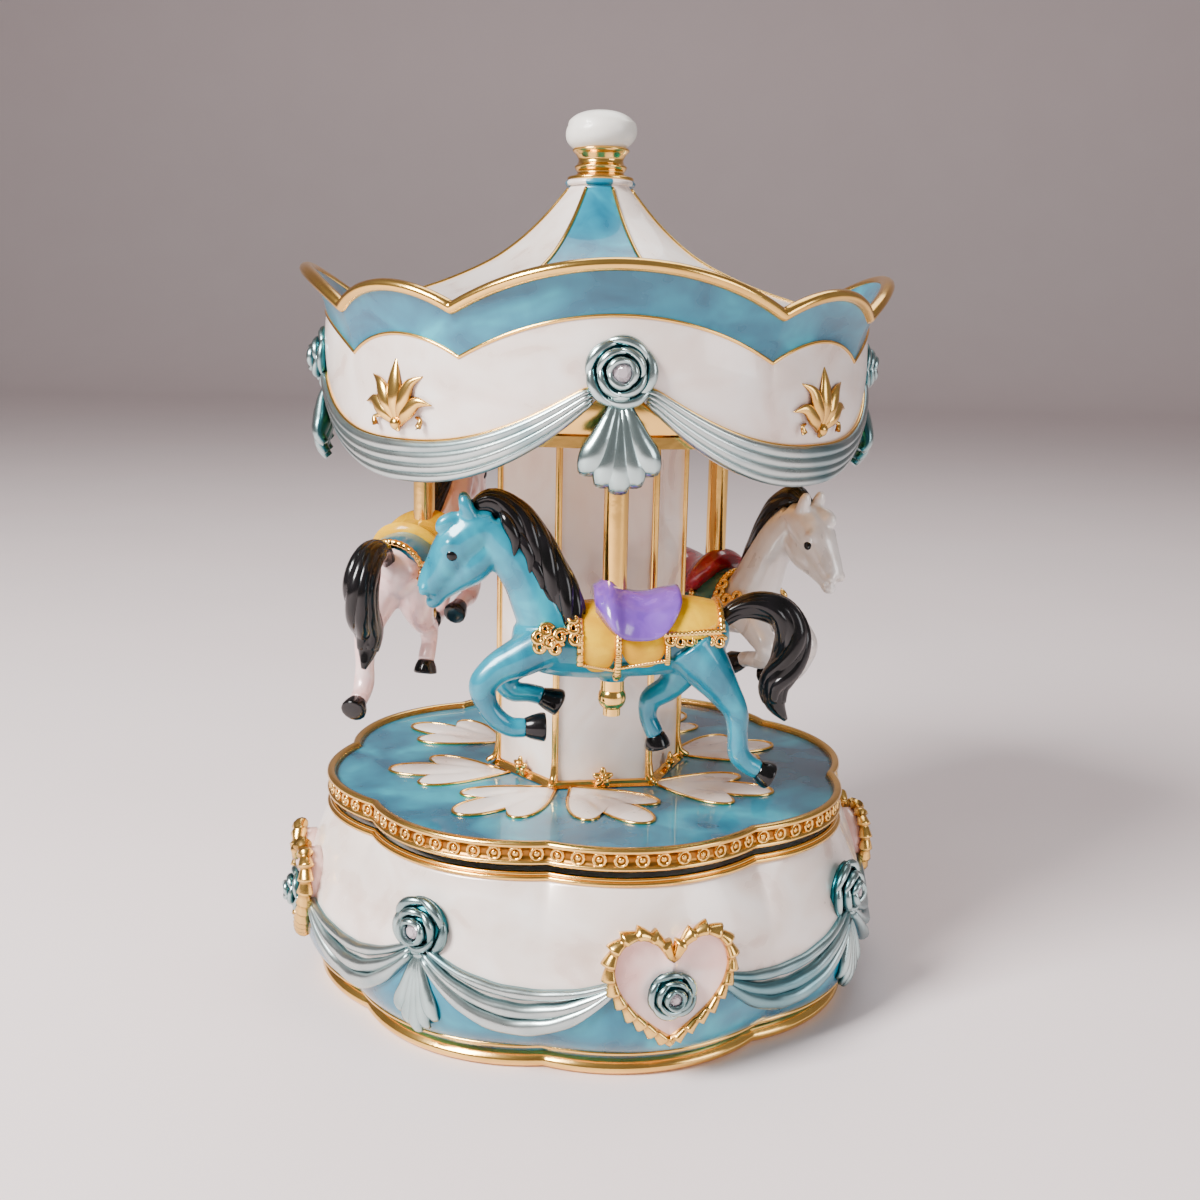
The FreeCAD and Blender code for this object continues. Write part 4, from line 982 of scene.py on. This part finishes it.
rim_z = rim_height(ALPHA)
rim_r = skirt_radius(ALPHA, rim_z)
rim = hoop(rim_z - 0.1, rim_r - 0.55, 0.88, 1.1)
thread = hoop(rim_z - WIRE_DROP, skirt_radius(ALPHA, rim_z - WIRE_DROP) + 0.02, 0.26, 0.26)
piece("canopy_rim", to_mesh("canopy_rim", [rim, thread], wrap_rows=True), "turntable", "gold", gold)
lining_profile = ((39.9, 90.6), (40.05, 97.0), (39.7, 98.2), (39.2, 98.2), (39.3, 90.6))
lining = np.stack([polar(r, np.arange(0, 360, 3.0), z) for r, z in lining_profile])
piece("canopy_lining", to_mesh("canopy_lining", [lining], wrap_rows=True), "turntable", "gold", gold)


# %% Drapes under the skirt
def canopy_drape():
    """Folds from one rose to the next, gathered at both ends, and the gold piping along their top."""
    alpha = np.linspace(5.0, 85.0, 61)
    swell = np.sin(np.pi * (alpha - 5.0) / 80.0) ** 0.55
    width = 2.0 + 3.6 * swell
    grids = []
    for place, wide, tall in ((0.10, 0.62, 0.80), (0.34, 0.74, 0.95), (0.60, 0.78, 0.95),
                              (0.86, 0.72, 0.80)):
        z = hem_height(alpha) + width * place
        r = skirt_radius(alpha, z) + 0.45
        flutter = 1 + 0.07 * np.sin(np.radians(alpha * 9) + place * 9)
        grids.append(tube(polar(r, alpha, z), wide * width / 4.4 * flutter, tall, 12, polar(1.0, alpha, 0)))
    z = hem_height(alpha) + width * 1.02
    piping = tube(polar(skirt_radius(alpha, z) + 0.25, alpha, z), 0.26, 0.30, 8, polar(1.0, alpha, 0))
    return grids, piping


folds, piping = canopy_drape()
drapes = around(folds, 4, CANOPY_TURN)
marks = [crest_to_flank_shade(g, 12, 1.0) * 0.9 for g in drapes]
ornament("canopy_drapes", "canopy_swags", (drapes, marks), "turntable", "silver_teal", drape_silver)
piece("drape_piping", to_mesh("drape_piping", around([piping], 4, CANOPY_TURN)), "turntable", "gold", gold)

# %% Roses, stones and tails
made = set_round(*rose(5.0, 40), 42.9, 101.0, 0, CANOPY_TURN)
ornament("canopy_rose_set", "canopy_roses", made, "turntable", "silver_teal", silver)
jewelled("canopy_stones", set_round([cut_stone(1.35)], [], 45.2, 101.0, 0, CANOPY_TURN)[0], "turntable",
         "canopy_crystals")
made = set_round(*ribbon_tail(12.4, 4.2, 1.55), 42.4, 97.6, 0, CANOPY_TURN)
ornament("canopy_tails", "canopy_tassels", made, "turntable", "silver_teal", silver)


# %% Lilies
def lily():
    """Flower of pointed leaves: one upright, two pairs that arch outwards, and two scrolls at its foot."""
    grids = [bar([(0, 0, 0.3), (0, 3.4, 0.9), (0, 6.6, 0.9), (0, 10.0, 0.2)],
                 [0.6, 1.2, 1.35, 0.08], [0.4, 0.9, 0.8, 0.1])]
    inner = [(0.2, 0.2, 0.2), (1.6, 3.0, 0.9), (3.2, 5.8, 0.9), (5.2, 6.8, 0.3)]
    outer = [(0.2, 0.0, 0.2), (2.2, 1.6, 0.8), (4.4, 3.2, 0.8), (6.8, 2.9, 0.2)]
    scroll = [(0, -0.3, 0.3), (2.2, -0.8, 0.7), (4.2, -0.5, 0.7), (4.8, 0.8, 0.5), (3.7, 1.1, 0.3)]
    halves = ((inner, [0.5, 1.05, 1.2, 0.08], [0.4, 0.9, 0.8, 0.1]),
              (outer, [0.5, 1.0, 1.15, 0.08], [0.4, 0.8, 0.75, 0.1]),
              (scroll, [0.5, 0.8, 0.85, 0.7, 0.2], [0.4, 0.7, 0.7, 0.5, 0.15]))
    for side in (-1, 1):
        grids += [bar([(u * side, v, w) for u, v, w in path], wide, tall) for path, wide, tall in halves]
    grids.append(bar([(0, -0.9, 0.2), (0, 0.2, 0.9), (0, 1.3, 0.4)], [0.3, 0.95, 0.3], [0.3, 0.7, 0.2], 12))
    return grids, [crest_to_flank_shade(g, 10, 2.0) for g in grids]


made = set_round(*lily(), 42.3, 92.8, 45, CANOPY_TURN)
ornament("canopy_lily_set", "canopy_lilies", made, "turntable", "gold", gold_relief)

# %% [markdown]
# ## Roof and finial
# The roof is a curve turned about the axis, steep under the knob and almost flat at the rim, like a tent.
# Its eight panels take turns in turquoise and cream, and a gold wire lies on every seam.  The panels sink a
# little between their wires.

# %% Roof
ROOF_R = [4.9, 6.2, 9.6, 16.1, 24.2, 32.0, 43.0]
ROOF_Z = [128.4, 126.8, 123.0, 117.6, 113.6, 111.0, 108.5]
ROOF_TURN = -16.4                      # middle of a turquoise panel
roof_angles = np.arange(0, 360, 1.5)
profile = smooth(np.column_stack([ROOF_R, ROOF_Z]), 60)
across = (roof_angles - ROOF_TURN + 22.5) % 45 - 22.5
sag = 0.5 * np.cos(np.radians(across * 4)) * np.sin(np.pi * np.linspace(0, 1, 60))[:, None] ** 0.7
roof_out = polar(profile[:, :1], roof_angles[None], profile[:, 1:] - sag)
LIP = ((3.0, 128.0), (3.0, 129.3), (5.3, 129.3), (5.6, 128.9), (5.4, 128.45))
lip = np.stack([polar(r, roof_angles, z) for r, z in LIP])
roof_in = polar(np.maximum(profile[::-1, :1] - 0.3, 3.0), roof_angles[None], profile[::-1, 1:] - 1.6)
roof_grid = np.concatenate([lip, roof_out, roof_in])
to_turquoise = (22.5 - np.abs((roof_angles - ROOF_TURN + 45) % 90 - 45)) * np.radians(1)
panel = np.linalg.norm(roof_grid[..., :2], axis=-1) * to_turquoise[None]
roof_mesh = to_mesh("canopy_roof", [roof_grid], wrap_rows=True, marks={"panel": [panel]})
piece("roof_panels", roof_mesh, "turntable", "turquoise_enamel", roof_enamel, "canopy_roof")
seam_line = np.column_stack([np.zeros(60), -profile[:, 0], profile[:, 1] + 0.08])[1:]
seams = around([tube(seam_line, 0.30, 0.26, 8, across=(0, 0, 1.0))], 8, ROOF_TURN + 22.5)
piece("roof_seams", to_mesh("roof_seams", seams), "turntable", "gold", gold)

# %% Finial
turn_angles = np.arange(0, 360, 5.0)
neck = smooth([(5.2, 129.2), (5.25, 129.7), (4.3, 130.05), (3.7, 130.5), (4.0, 131.0), (4.15, 131.4),
               (3.75, 131.8), (3.55, 132.3), (3.9, 133.2), (4.5, 134.0), (4.3, 134.25)], 60)
neck_grid = polar(neck[:, :1], turn_angles[None], neck[:, 1:])
piece("finial_collar", to_mesh("finial_neck", [poled(neck_grid)]), "turntable", "gold", gold, "finial_neck")
theta_ball = np.linspace(0.03, np.pi - 0.03, 48)[:, None]
ball_r = 5.6 * np.abs(np.sin(theta_ball)) ** 0.86
ball_z = 136.75 + 3.25 * np.sign(np.cos(theta_ball)) * np.abs(np.cos(theta_ball)) ** 0.92
droop = np.cos(np.radians(turn_angles[None] + 75)) * np.sin(theta_ball) * 0.55 * (theta_ball > np.pi / 2.6)
ball_grid = polar(ball_r, turn_angles[None], ball_z - np.clip(droop, -0.2, 1))
piece("finial_knob", to_mesh("finial_ball", [poled(ball_grid)]), "turntable", "white_satin", white_satin,
      "finial_ball")


# %% [markdown]
# ## Horses
# The three gallopers come from one mould.  Body, neck, head and legs are round bars that cross each other,
# drawn in the horse's own frame: forward, to its side and up, from the middle of its belly.  Remeshing them
# at a third of a millimetre melts them into one skin, and smoothing gives it the soft look of a casting
# drowned in enamel.  Hooves, mane and tail are separate bars in black gloss, and saddle, blanket and
# trimmings lie on top.

# %% The mould
def blob(points, sides=16, rows=28):
    """Round bar through (forward, side, up, radius) points."""
    line = smooth(points, rows)
    return tube(line[:, :3], np.maximum(line[:, 3], 0.05), sides=sides, across=(0, 1.0, 0.02))


FLESH = {
    "trunk": [(16.2, 0, 0.6, 1.6), (14.6, 0, 0.4, 3.9), (11.5, 0, 0.2, 5.0), (6.5, 0, -0.3, 5.2),
              (0, 0, -0.6, 4.9), (-6, 0, -0.1, 5.0), (-11, 0, 0.8, 5.1), (-14.2, 0, 1.2, 3.8),
              (-15.8, 0, 1.4, 1.6)],
    "neck": [(9.8, 0, 1.2, 5.0), (12.0, 0, 5.4, 4.3), (14.2, 0, 9.8, 3.7), (17.0, 0, 13.8, 3.5),
             (19.8, 0, 16.8, 3.0)],
    "head": [(18.8, 0, 16.8, 2.8), (21.6, 0, 16.2, 3.3), (24.2, 0, 14.0, 3.3), (26.2, 0, 11.0, 2.7),
             (27.7, 0, 8.6, 2.2), (28.4, 0, 7.3, 1.8)],
    "jaw": [(20.0, 0, 13.6, 2.6), (22.0, 0, 11.2, 2.8), (24.8, 0, 8.8, 1.9), (27.0, 0, 6.9, 1.3)],
    "near_fore": [(10.8, 2.4, 0.4, 3.5), (15.2, 2.9, -1.8, 3.0), (19.0, 3.3, -3.8, 2.3),
                  (20.5, 3.4, -5.8, 2.15), (20.0, 3.4, -8.4, 1.65), (18.2, 3.3, -11.0, 1.55),
                  (16.2, 3.2, -12.2, 1.5), (14.2, 3.1, -12.2, 1.5)],
    "far_fore": [(10.8, -2.4, -0.6, 3.3), (14.8, -2.8, -3.8, 2.4), (17.2, -3.0, -6.4, 1.9),
                 (16.0, -3.0, -8.3, 1.6), (13.4, -2.9, -8.6, 1.45), (11.4, -2.8, -9.1, 1.45)],
    "near_hind": [(-9.6, 2.4, 0.0, 4.4), (-12.4, 2.8, -3.6, 3.6), (-15.0, 3.1, -7.2, 2.5),
                  (-16.8, 3.2, -10.2, 1.9), (-17.2, 3.2, -13.8, 1.55), (-17.6, 3.2, -16.8, 1.7),
                  (-19.2, 3.1, -18.5, 1.5), (-20.6, 3.1, -19.2, 1.5)],
    "far_hind": [(-9.4, -2.4, -0.4, 4.2), (-9.8, -2.8, -4.4, 3.1), (-7.6, -3.0, -8.0, 2.1),
                 (-4.9, -3.1, -10.0, 1.75), (-4.6, -3.1, -12.2, 1.4), (-5.4, -3.0, -14.4, 1.45),
                 (-5.9, -3.0, -15.4, 1.45)],
    "pole_socket": [(1.3, 0, -4.0, 2.9), (1.3, 0, -5.8, 1.9), (1.3, 0, -7.0, 1.45), (1.3, 0, -8.2, 1.35)]}
EAR = [(21.8, 1.5, 17.8, 1.1), (22.7, 1.8, 19.4, 1.15), (23.2, 1.9, 20.8, 0.95), (23.3, 1.9, 21.7, 0.45)]
BROW = [(24.0, 2.3, 14.9, 0.7), (25.2, 2.5, 14.7, 1.0), (26.2, 2.2, 13.8, 0.6)]
NOSTRIL = [(28.0, 1.1, 8.6, 0.5), (28.9, 1.3, 7.9, 0.85), (29.1, 1.2, 7.0, 0.5)]
FORELOCK = [(22.6, 0.8, 17.6, 1.0), (24.6, 1.0, 18.0, 1.15), (26.2, 1.1, 17.2, 1.15), (26.7, 1.1, 16.1, 0.7)]
CHIN = [(26.0, 0, 6.8, 0.8), (27.8, 0, 5.9, 1.15), (28.6, 0, 5.8, 0.7)]


def both_sides(path):
    """A bar of the near side and its mirror image on the far side."""
    return [[(f, side * y, u, r) for f, y, u, r in path] for side in (1, -1)]


SMALL_FLESH = both_sides(EAR) + [FORELOCK] + both_sides(BROW) + both_sides(NOSTRIL) + [CHIN]


def melted(name, grids, voxel, rounds):
    """One skin over overlapping closed grids: voxel remesh, then smoothing."""
    mesh = to_mesh(name, grids)
    obj = linked(name, mesh)
    remesh = obj.modifiers.new("skin", "REMESH")
    remesh.mode = "VOXEL"
    remesh.voxel_size = voxel * MM
    ease = obj.modifiers.new("ease", "SMOOTH")
    ease.factor, ease.iterations = 0.5, rounds
    bpy.context.view_layer.update()
    skin = bpy.data.meshes.new_from_object(obj.evaluated_get(bpy.context.evaluated_depsgraph_get()))
    bpy.data.objects.remove(obj)
    shade(skin, len(skin.polygons))
    return skin


skin = melted("horse_skin", [blob(p) for p in FLESH.values()] + [blob(p, 10, 12) for p in SMALL_FLESH],
              0.34, 5)
print("the horse's skin has", len(skin.polygons), "faces")

# %% Black parts
HOOVES = [[(14.4, 3.1, -12.2, 1.4), (12.9, 3.05, -12.2, 1.95), (11.4, 3.0, -12.2, 2.05),
           (11.2, 3.0, -12.2, 1.2)],
          [(11.6, -2.8, -9.1, 1.4), (10.2, -2.8, -9.7, 1.85), (8.8, -2.7, -10.2, 1.95),
           (8.6, -2.7, -10.3, 1.1)],
          [(-20.4, 3.1, -19.1, 1.4), (-21.4, 3.1, -19.7, 1.9), (-22.4, 3.1, -20.3, 2.0),
           (-22.6, 3.1, -20.4, 1.2)],
          [(-5.9, -3.0, -15.2, 1.35), (-6.1, -3.0, -16.2, 1.8), (-6.3, -3.0, -17.3, 1.9),
           (-6.35, -3.0, -17.5, 1.1)]]


def strands(spine, count, spin, thick, seed):
    """Locks of hair that wind about a spine of (forward, side, up, reach) points, thick in the middle."""
    rng = np.random.default_rng(seed)
    line = smooth(spine, 44)
    tangent = unit(np.gradient(line[:, :3], axis=0))
    side = unit(np.cross(tangent, (0, 1.0, 0.03)))
    other = np.cross(tangent, side)
    s = np.linspace(0, 1, 44)
    grids = []
    for i in range(count):
        phase = 2 * np.pi * i / count + rng.uniform(-0.2, 0.2)
        a = phase + spin * s + 0.5 * np.sin(5 * s + phase)
        out = line[:, 3] * 0.62
        path = line[:, :3] + side * (np.cos(a) * out)[:, None] + other * (np.sin(a) * out)[:, None]
        end = rng.integers(38, 44)
        size = np.maximum(thick * line[:, 3] * (1 + 0.12 * np.sin(9 * s + phase)), 0.12)
        grids.append(tube(path[:end], size[:end], sides=10, across=(0, 1.0, 0.02)))
    return grids + [blob(spine, 12, 30)]


TAIL = [(-14.6, 0, 2.6, 1.0), (-16.8, 0, 4.4, 1.4), (-20.0, 0, 5.3, 1.9), (-23.6, 0, 4.2, 2.3),
        (-25.6, 0, 0.8, 2.5), (-25.0, 0, -3.4, 2.5), (-23.0, 0, -7.0, 2.2), (-23.6, 0, -10.0, 1.5),
        (-25.2, 0, -12.4, 0.4)]
MANE = [(21.8, 0.4, 19.6, 0.9), (19.6, 0.5, 20.6, 1.6), (16.2, 0.7, 19.0, 2.1), (13.2, 1.0, 15.2, 2.3),
        (11.0, 1.5, 11.0, 2.4), (9.0, 2.1, 7.2, 2.3), (7.8, 3.0, 3.8, 1.8), (8.4, 3.9, 0.8, 0.6)]
tail_mesh = to_mesh("horse_tail", strands(TAIL, 6, 3.4, 0.50, 3))
mane_grids = strands(MANE, 7, 4.2, 0.50, 5)
for k, (f, u) in enumerate(((17.4, 19.2), (15.2, 16.6), (13.6, 13.4), (12.2, 10.2), (10.8, 7.2))):
    mane_grids.append(blob([(f + 0.6, 1.4, u + 0.6, 0.5), (f - 0.2, 2.6, u - 1.2, 0.95),
                            (f - 1.4, 3.1, u - 4.0, 0.8), (f - 1.2, 3.3, u - 6.2, 0.2)],
                            10, 16))
mane_mesh = to_mesh("horse_mane", mane_grids)
hoof_mesh = to_mesh("horse_hooves", [blob(h, 14, 14) for h in HOOVES])


eyes = [blob([(24.9, side * y, 13.1, r) for y, r in ((2.5, 0.3), (2.95, 0.85), (3.25, 0.45))], 12, 8)
        for side in (-1, 1)]
eye_mesh = to_mesh("horse_eyes", eyes)


# %% [markdown]
# ### Saddlery
# Cloth on a horse's back is a patch of a slightly larger barrel.  It is described by where it lies along
# the back and how far it wraps round the belly, and the outline is cut by letting the wrap end sooner
# towards the corners.

# %% Saddle, blanket and trimmings
def barrel(forward, wrap, radius):
    """Point on a barrel about the trunk: wrap is the angle from straight up, towards the near side."""
    a = np.radians(wrap)
    return np.stack(np.broadcast_arrays(forward, radius * 0.96 * np.sin(a), -0.1 + radius * np.cos(a)), -1)


def cloth(start, end, reach, radius, thick, corner=0.25, rise=None):
    """Patch of cloth from one forward place to another, wrapping to reach degrees on both sides."""
    s = np.linspace(0, 1, 30)
    forward = start + (end - start) * s
    corners = 1 - corner * np.abs(2 * s - 1) ** 3
    w = np.linspace(-1, 1, 61)
    lift = np.zeros_like(s) if rise is None else curve_at(*rise, s)
    puff = 0.25 * (1 - (2 * s[:, None] - 1) ** 2) + 0.35 * (1 - w[None] ** 8)
    top = barrel(forward[:, None], w[None] * (reach * corners)[:, None], radius + puff + lift[:, None])
    low = barrel(forward[:, None], w[None] * (reach * corners)[:, None], radius - thick)
    return poled(np.concatenate([top, low[:, ::-1]], 1))


blanket_mesh = to_mesh("blanket", [cloth(6.6, 1.5, 128, 5.6, 0.8), cloth(0.9, -5.8, 120, 5.5, 0.8),
                                   cloth(-4.8, -13.8, 76, 6.0, 0.9, 0.35, ([0, 0.5, 1], [0.3, 0.2, -0.3]))])
saddle_rise = ([0, 0.16, 0.34, 0.6, 0.84, 1.0], [1.4, 2.3, 0.9, 0.3, 1.0, 1.5])
saddle_mesh = to_mesh("saddle", [cloth(4.4, -8.0, 78, 6.6, 1.0, 0.55, saddle_rise)])


def rosette(forward, wrap, radius, size):
    """Curled gold flower on the barrel."""
    centre = barrel(forward, wrap, radius)
    out = barrel(0, wrap, 1.0) - barrel(0, wrap, 0.0)
    out /= np.linalg.norm(out)
    along = np.array([1.0, 0, 0])
    up = np.cross(along, out)
    turn = np.linspace(0.2, 1, 26)
    a = 9.0 * turn
    curl = centre + np.outer(np.cos(a) * turn, along) * size + np.outer(np.sin(a) * turn, up) * size
    curl = curl + np.outer(0.5 - 0.5 * turn, out) * size
    return [tube(curl, 0.40 * size ** 0.5, 0.48 * size ** 0.5, 8, across=out)]


def edging(start, end, wrap_from, wrap_to, radius, thick):
    """Twisted gold cord on the barrel between two places."""
    s = np.linspace(0, 1, 60)
    line = barrel(start + (end - start) * s, wrap_from + (wrap_to - wrap_from) * s, radius)
    return [tube(line, 1.3 * thick * (1 + 0.12 * np.sin(s * 90)), sides=8, across=(0, 0.1, 1.0))]


trim = []
for side in (-1, 1):
    trim += edging(6.9, 6.7, 0, side * 112, 6.0, 0.42) + edging(1.2, 1.2, side * 50, side * 128, 6.05, 0.42)
    trim += edging(-5.9, -6.0, side * 60, side * 112, 5.9, 0.34)
    trim += edging(6.5, 1.6, side * 113, side * 124, 5.9, 0.24)
    trim += edging(0.8, -5.7, side * 120, side * 108, 5.8, 0.24)
    trim += edging(-5.2, -13.6, side * 70, side * 66, 6.3, 0.40)
    tassel = [(*barrel(1.2, side * w, 6.0), r) for w, r in ((124, 0.5), (136, 0.7), (150, 0.15))]
    trim.append(blob(tassel, 8, 8))
    for f, w in ((12.6, 74), (11.0, 80), (9.6, 72), (11.6, 64), (12.4, 86), (10.2, 88)):
        trim += rosette(f, side * w, 5.9, 1.15)
    for f, w in ((7.6, 62), (7.4, 76), (7.6, 48)):
        trim += rosette(f, side * w, 6.1, 1.05)
    for i, f in enumerate(np.linspace(-6.4, -13.6, 6)):
        trim += rosette(f, side * (78 + 2 * (i % 2)), 5.9 - 0.12 * i, 1.0)
trim += edging(-13.9, -13.9, -66, 66, 6.0, 0.40)
trim_mesh = to_mesh("horse_trim", trim)

# %% [markdown]
# ### Three coats
# Each horse wears the same castings in its own colours.  They are set on the pole circle, a third of a turn
# apart, at three heights, all running clockwise seen from above.

# %% Set the horses on their poles
AQUA = ((0.000, 0.110, 0.180), (0.000, 0.175, 0.265), (0.000, 0.260, 0.370), (0.006, 0.390, 0.500))
PINK = ((0.640, 0.300, 0.300), (0.820, 0.500, 0.480), (0.900, 0.640, 0.620), (0.960, 0.800, 0.780))
horse_coats = {"front": ("horse_turquoise", enamel("horse_aqua", AQUA, 170.0, width=0.52), violet, yellow),
               "right": ("horse_white", enamel("horse_pearl", PEARL, 170.0, width=0.52), red, green),
               "left": ("horse_pink", enamel("horse_blush", PINK, 170.0, width=0.52), yellow, turquoise)}
POLE_CIRCLE, HORSE_TURN, BELLY_Z, POLE_FORWARD = 29.8, -5.7, 61.6, 1.3


def placed(mesh, name, angle, lift):
    """Copy of a mould turned to its place: it heads along -X in front, then goes round the axis."""
    copy = mesh.copy()
    copy.name = name
    spin = Matrix.Rotation(math.radians(HORSE_TURN + angle), 4, "Z")
    shift = Matrix.Translation((POLE_FORWARD * MM, -POLE_CIRCLE * MM, (BELLY_Z + lift) * MM))
    copy.transform(spin @ shift @ Matrix.Rotation(math.pi, 4, "Z"))
    return copy


for name, angle, lift in (("front", -2.7, 0.0), ("right", 123.0, -3.0), ("left", 247.0, 4.5)):
    slot, coat, seat, rug = horse_coats[name]
    node = "horse_" + name
    parts = (("skin", skin, slot, coat), ("hooves", hoof_mesh, "black_cover", black_gloss),
             ("mane", mane_mesh, "black_cover", black_gloss),
             ("tail", tail_mesh, "black_cover", black_gloss),
             ("eyes", eye_mesh, "black_cover", black_gloss), ("saddle", saddle_mesh, slot, seat),
             ("blanket", blanket_mesh, slot, rug), ("trim", trim_mesh, "gold", gold))
    for part, mesh, finish_slot, finish in parts:
        piece(node + "_" + part, placed(mesh, node + "_" + part, angle, lift), "turntable", finish_slot,
              finish, node)


# %% [markdown]
# ## Finishes for what stays
# The mechanical parts that are already right keep their shape.  They only need a finish: cream on the
# column, gold on poles and mouldings, steel and brass for the movement under the deck.

# %% Dress the CAD nodes
KEPT = [(cream, "column"),
        (gold, "column_wires canopy_ceiling pole_nuts pole_front pole_right pole_left"),
        (steel, "cover_screws bedplate movement_screws comb comb_screws mainspring output_shaft tie_rod"
                " tie_rod_nut winding_arbor governor_fly"),
        (brass, "governor_frame output_bush thrust_washer spring_barrel winding_key pin_cylinder"
                " cylinder_shaft governor_wheel"),
        (cover_black, "bottom_cover")]
for finish, names in KEPT:
    for name in names.split():
        obj = NODES[name]
        if not obj.data.materials:
            obj.data.materials.append(finish)
        for slot in obj.material_slots:
            slot.material = finish
    print(finish.name, "on", names)

# %% [markdown]
# ## Paper under and behind
# A pale sheet lies under the trinket, runs well back and bends up into a wall, so that there is no hard
# horizon and the gold has something light to mirror.

# %% Paper
paper = Finish("pale_paper", Roughness=0.55)
grain = paper.noise(14.0, 2.0)
paper.wear(Base_Color=paper.mix(grain, (0.86, 0.74, 0.74), (0.89, 0.78, 0.78)), Roughness=grain * 0.1 + 0.5)
bend = np.radians(np.linspace(-90, 0, 25))
run = np.concatenate([[-3.0], 1.6 + 0.5 * np.cos(bend), [2.1]])
rise = np.concatenate([[0.0], 0.5 + 0.5 * np.sin(bend), [3.5]])
width = np.array([-4.0, 4.0])
sheet = np.stack(np.broadcast_arrays(width[None], run[:, None], rise[:, None]), -1) / MM
floor_mesh = to_mesh("paper", [turned(sheet, math.degrees(CAMERA_AZIMUTH))], wrap_cols=False)
floor_mesh.materials.append(paper.material)
linked("floor", floor_mesh)
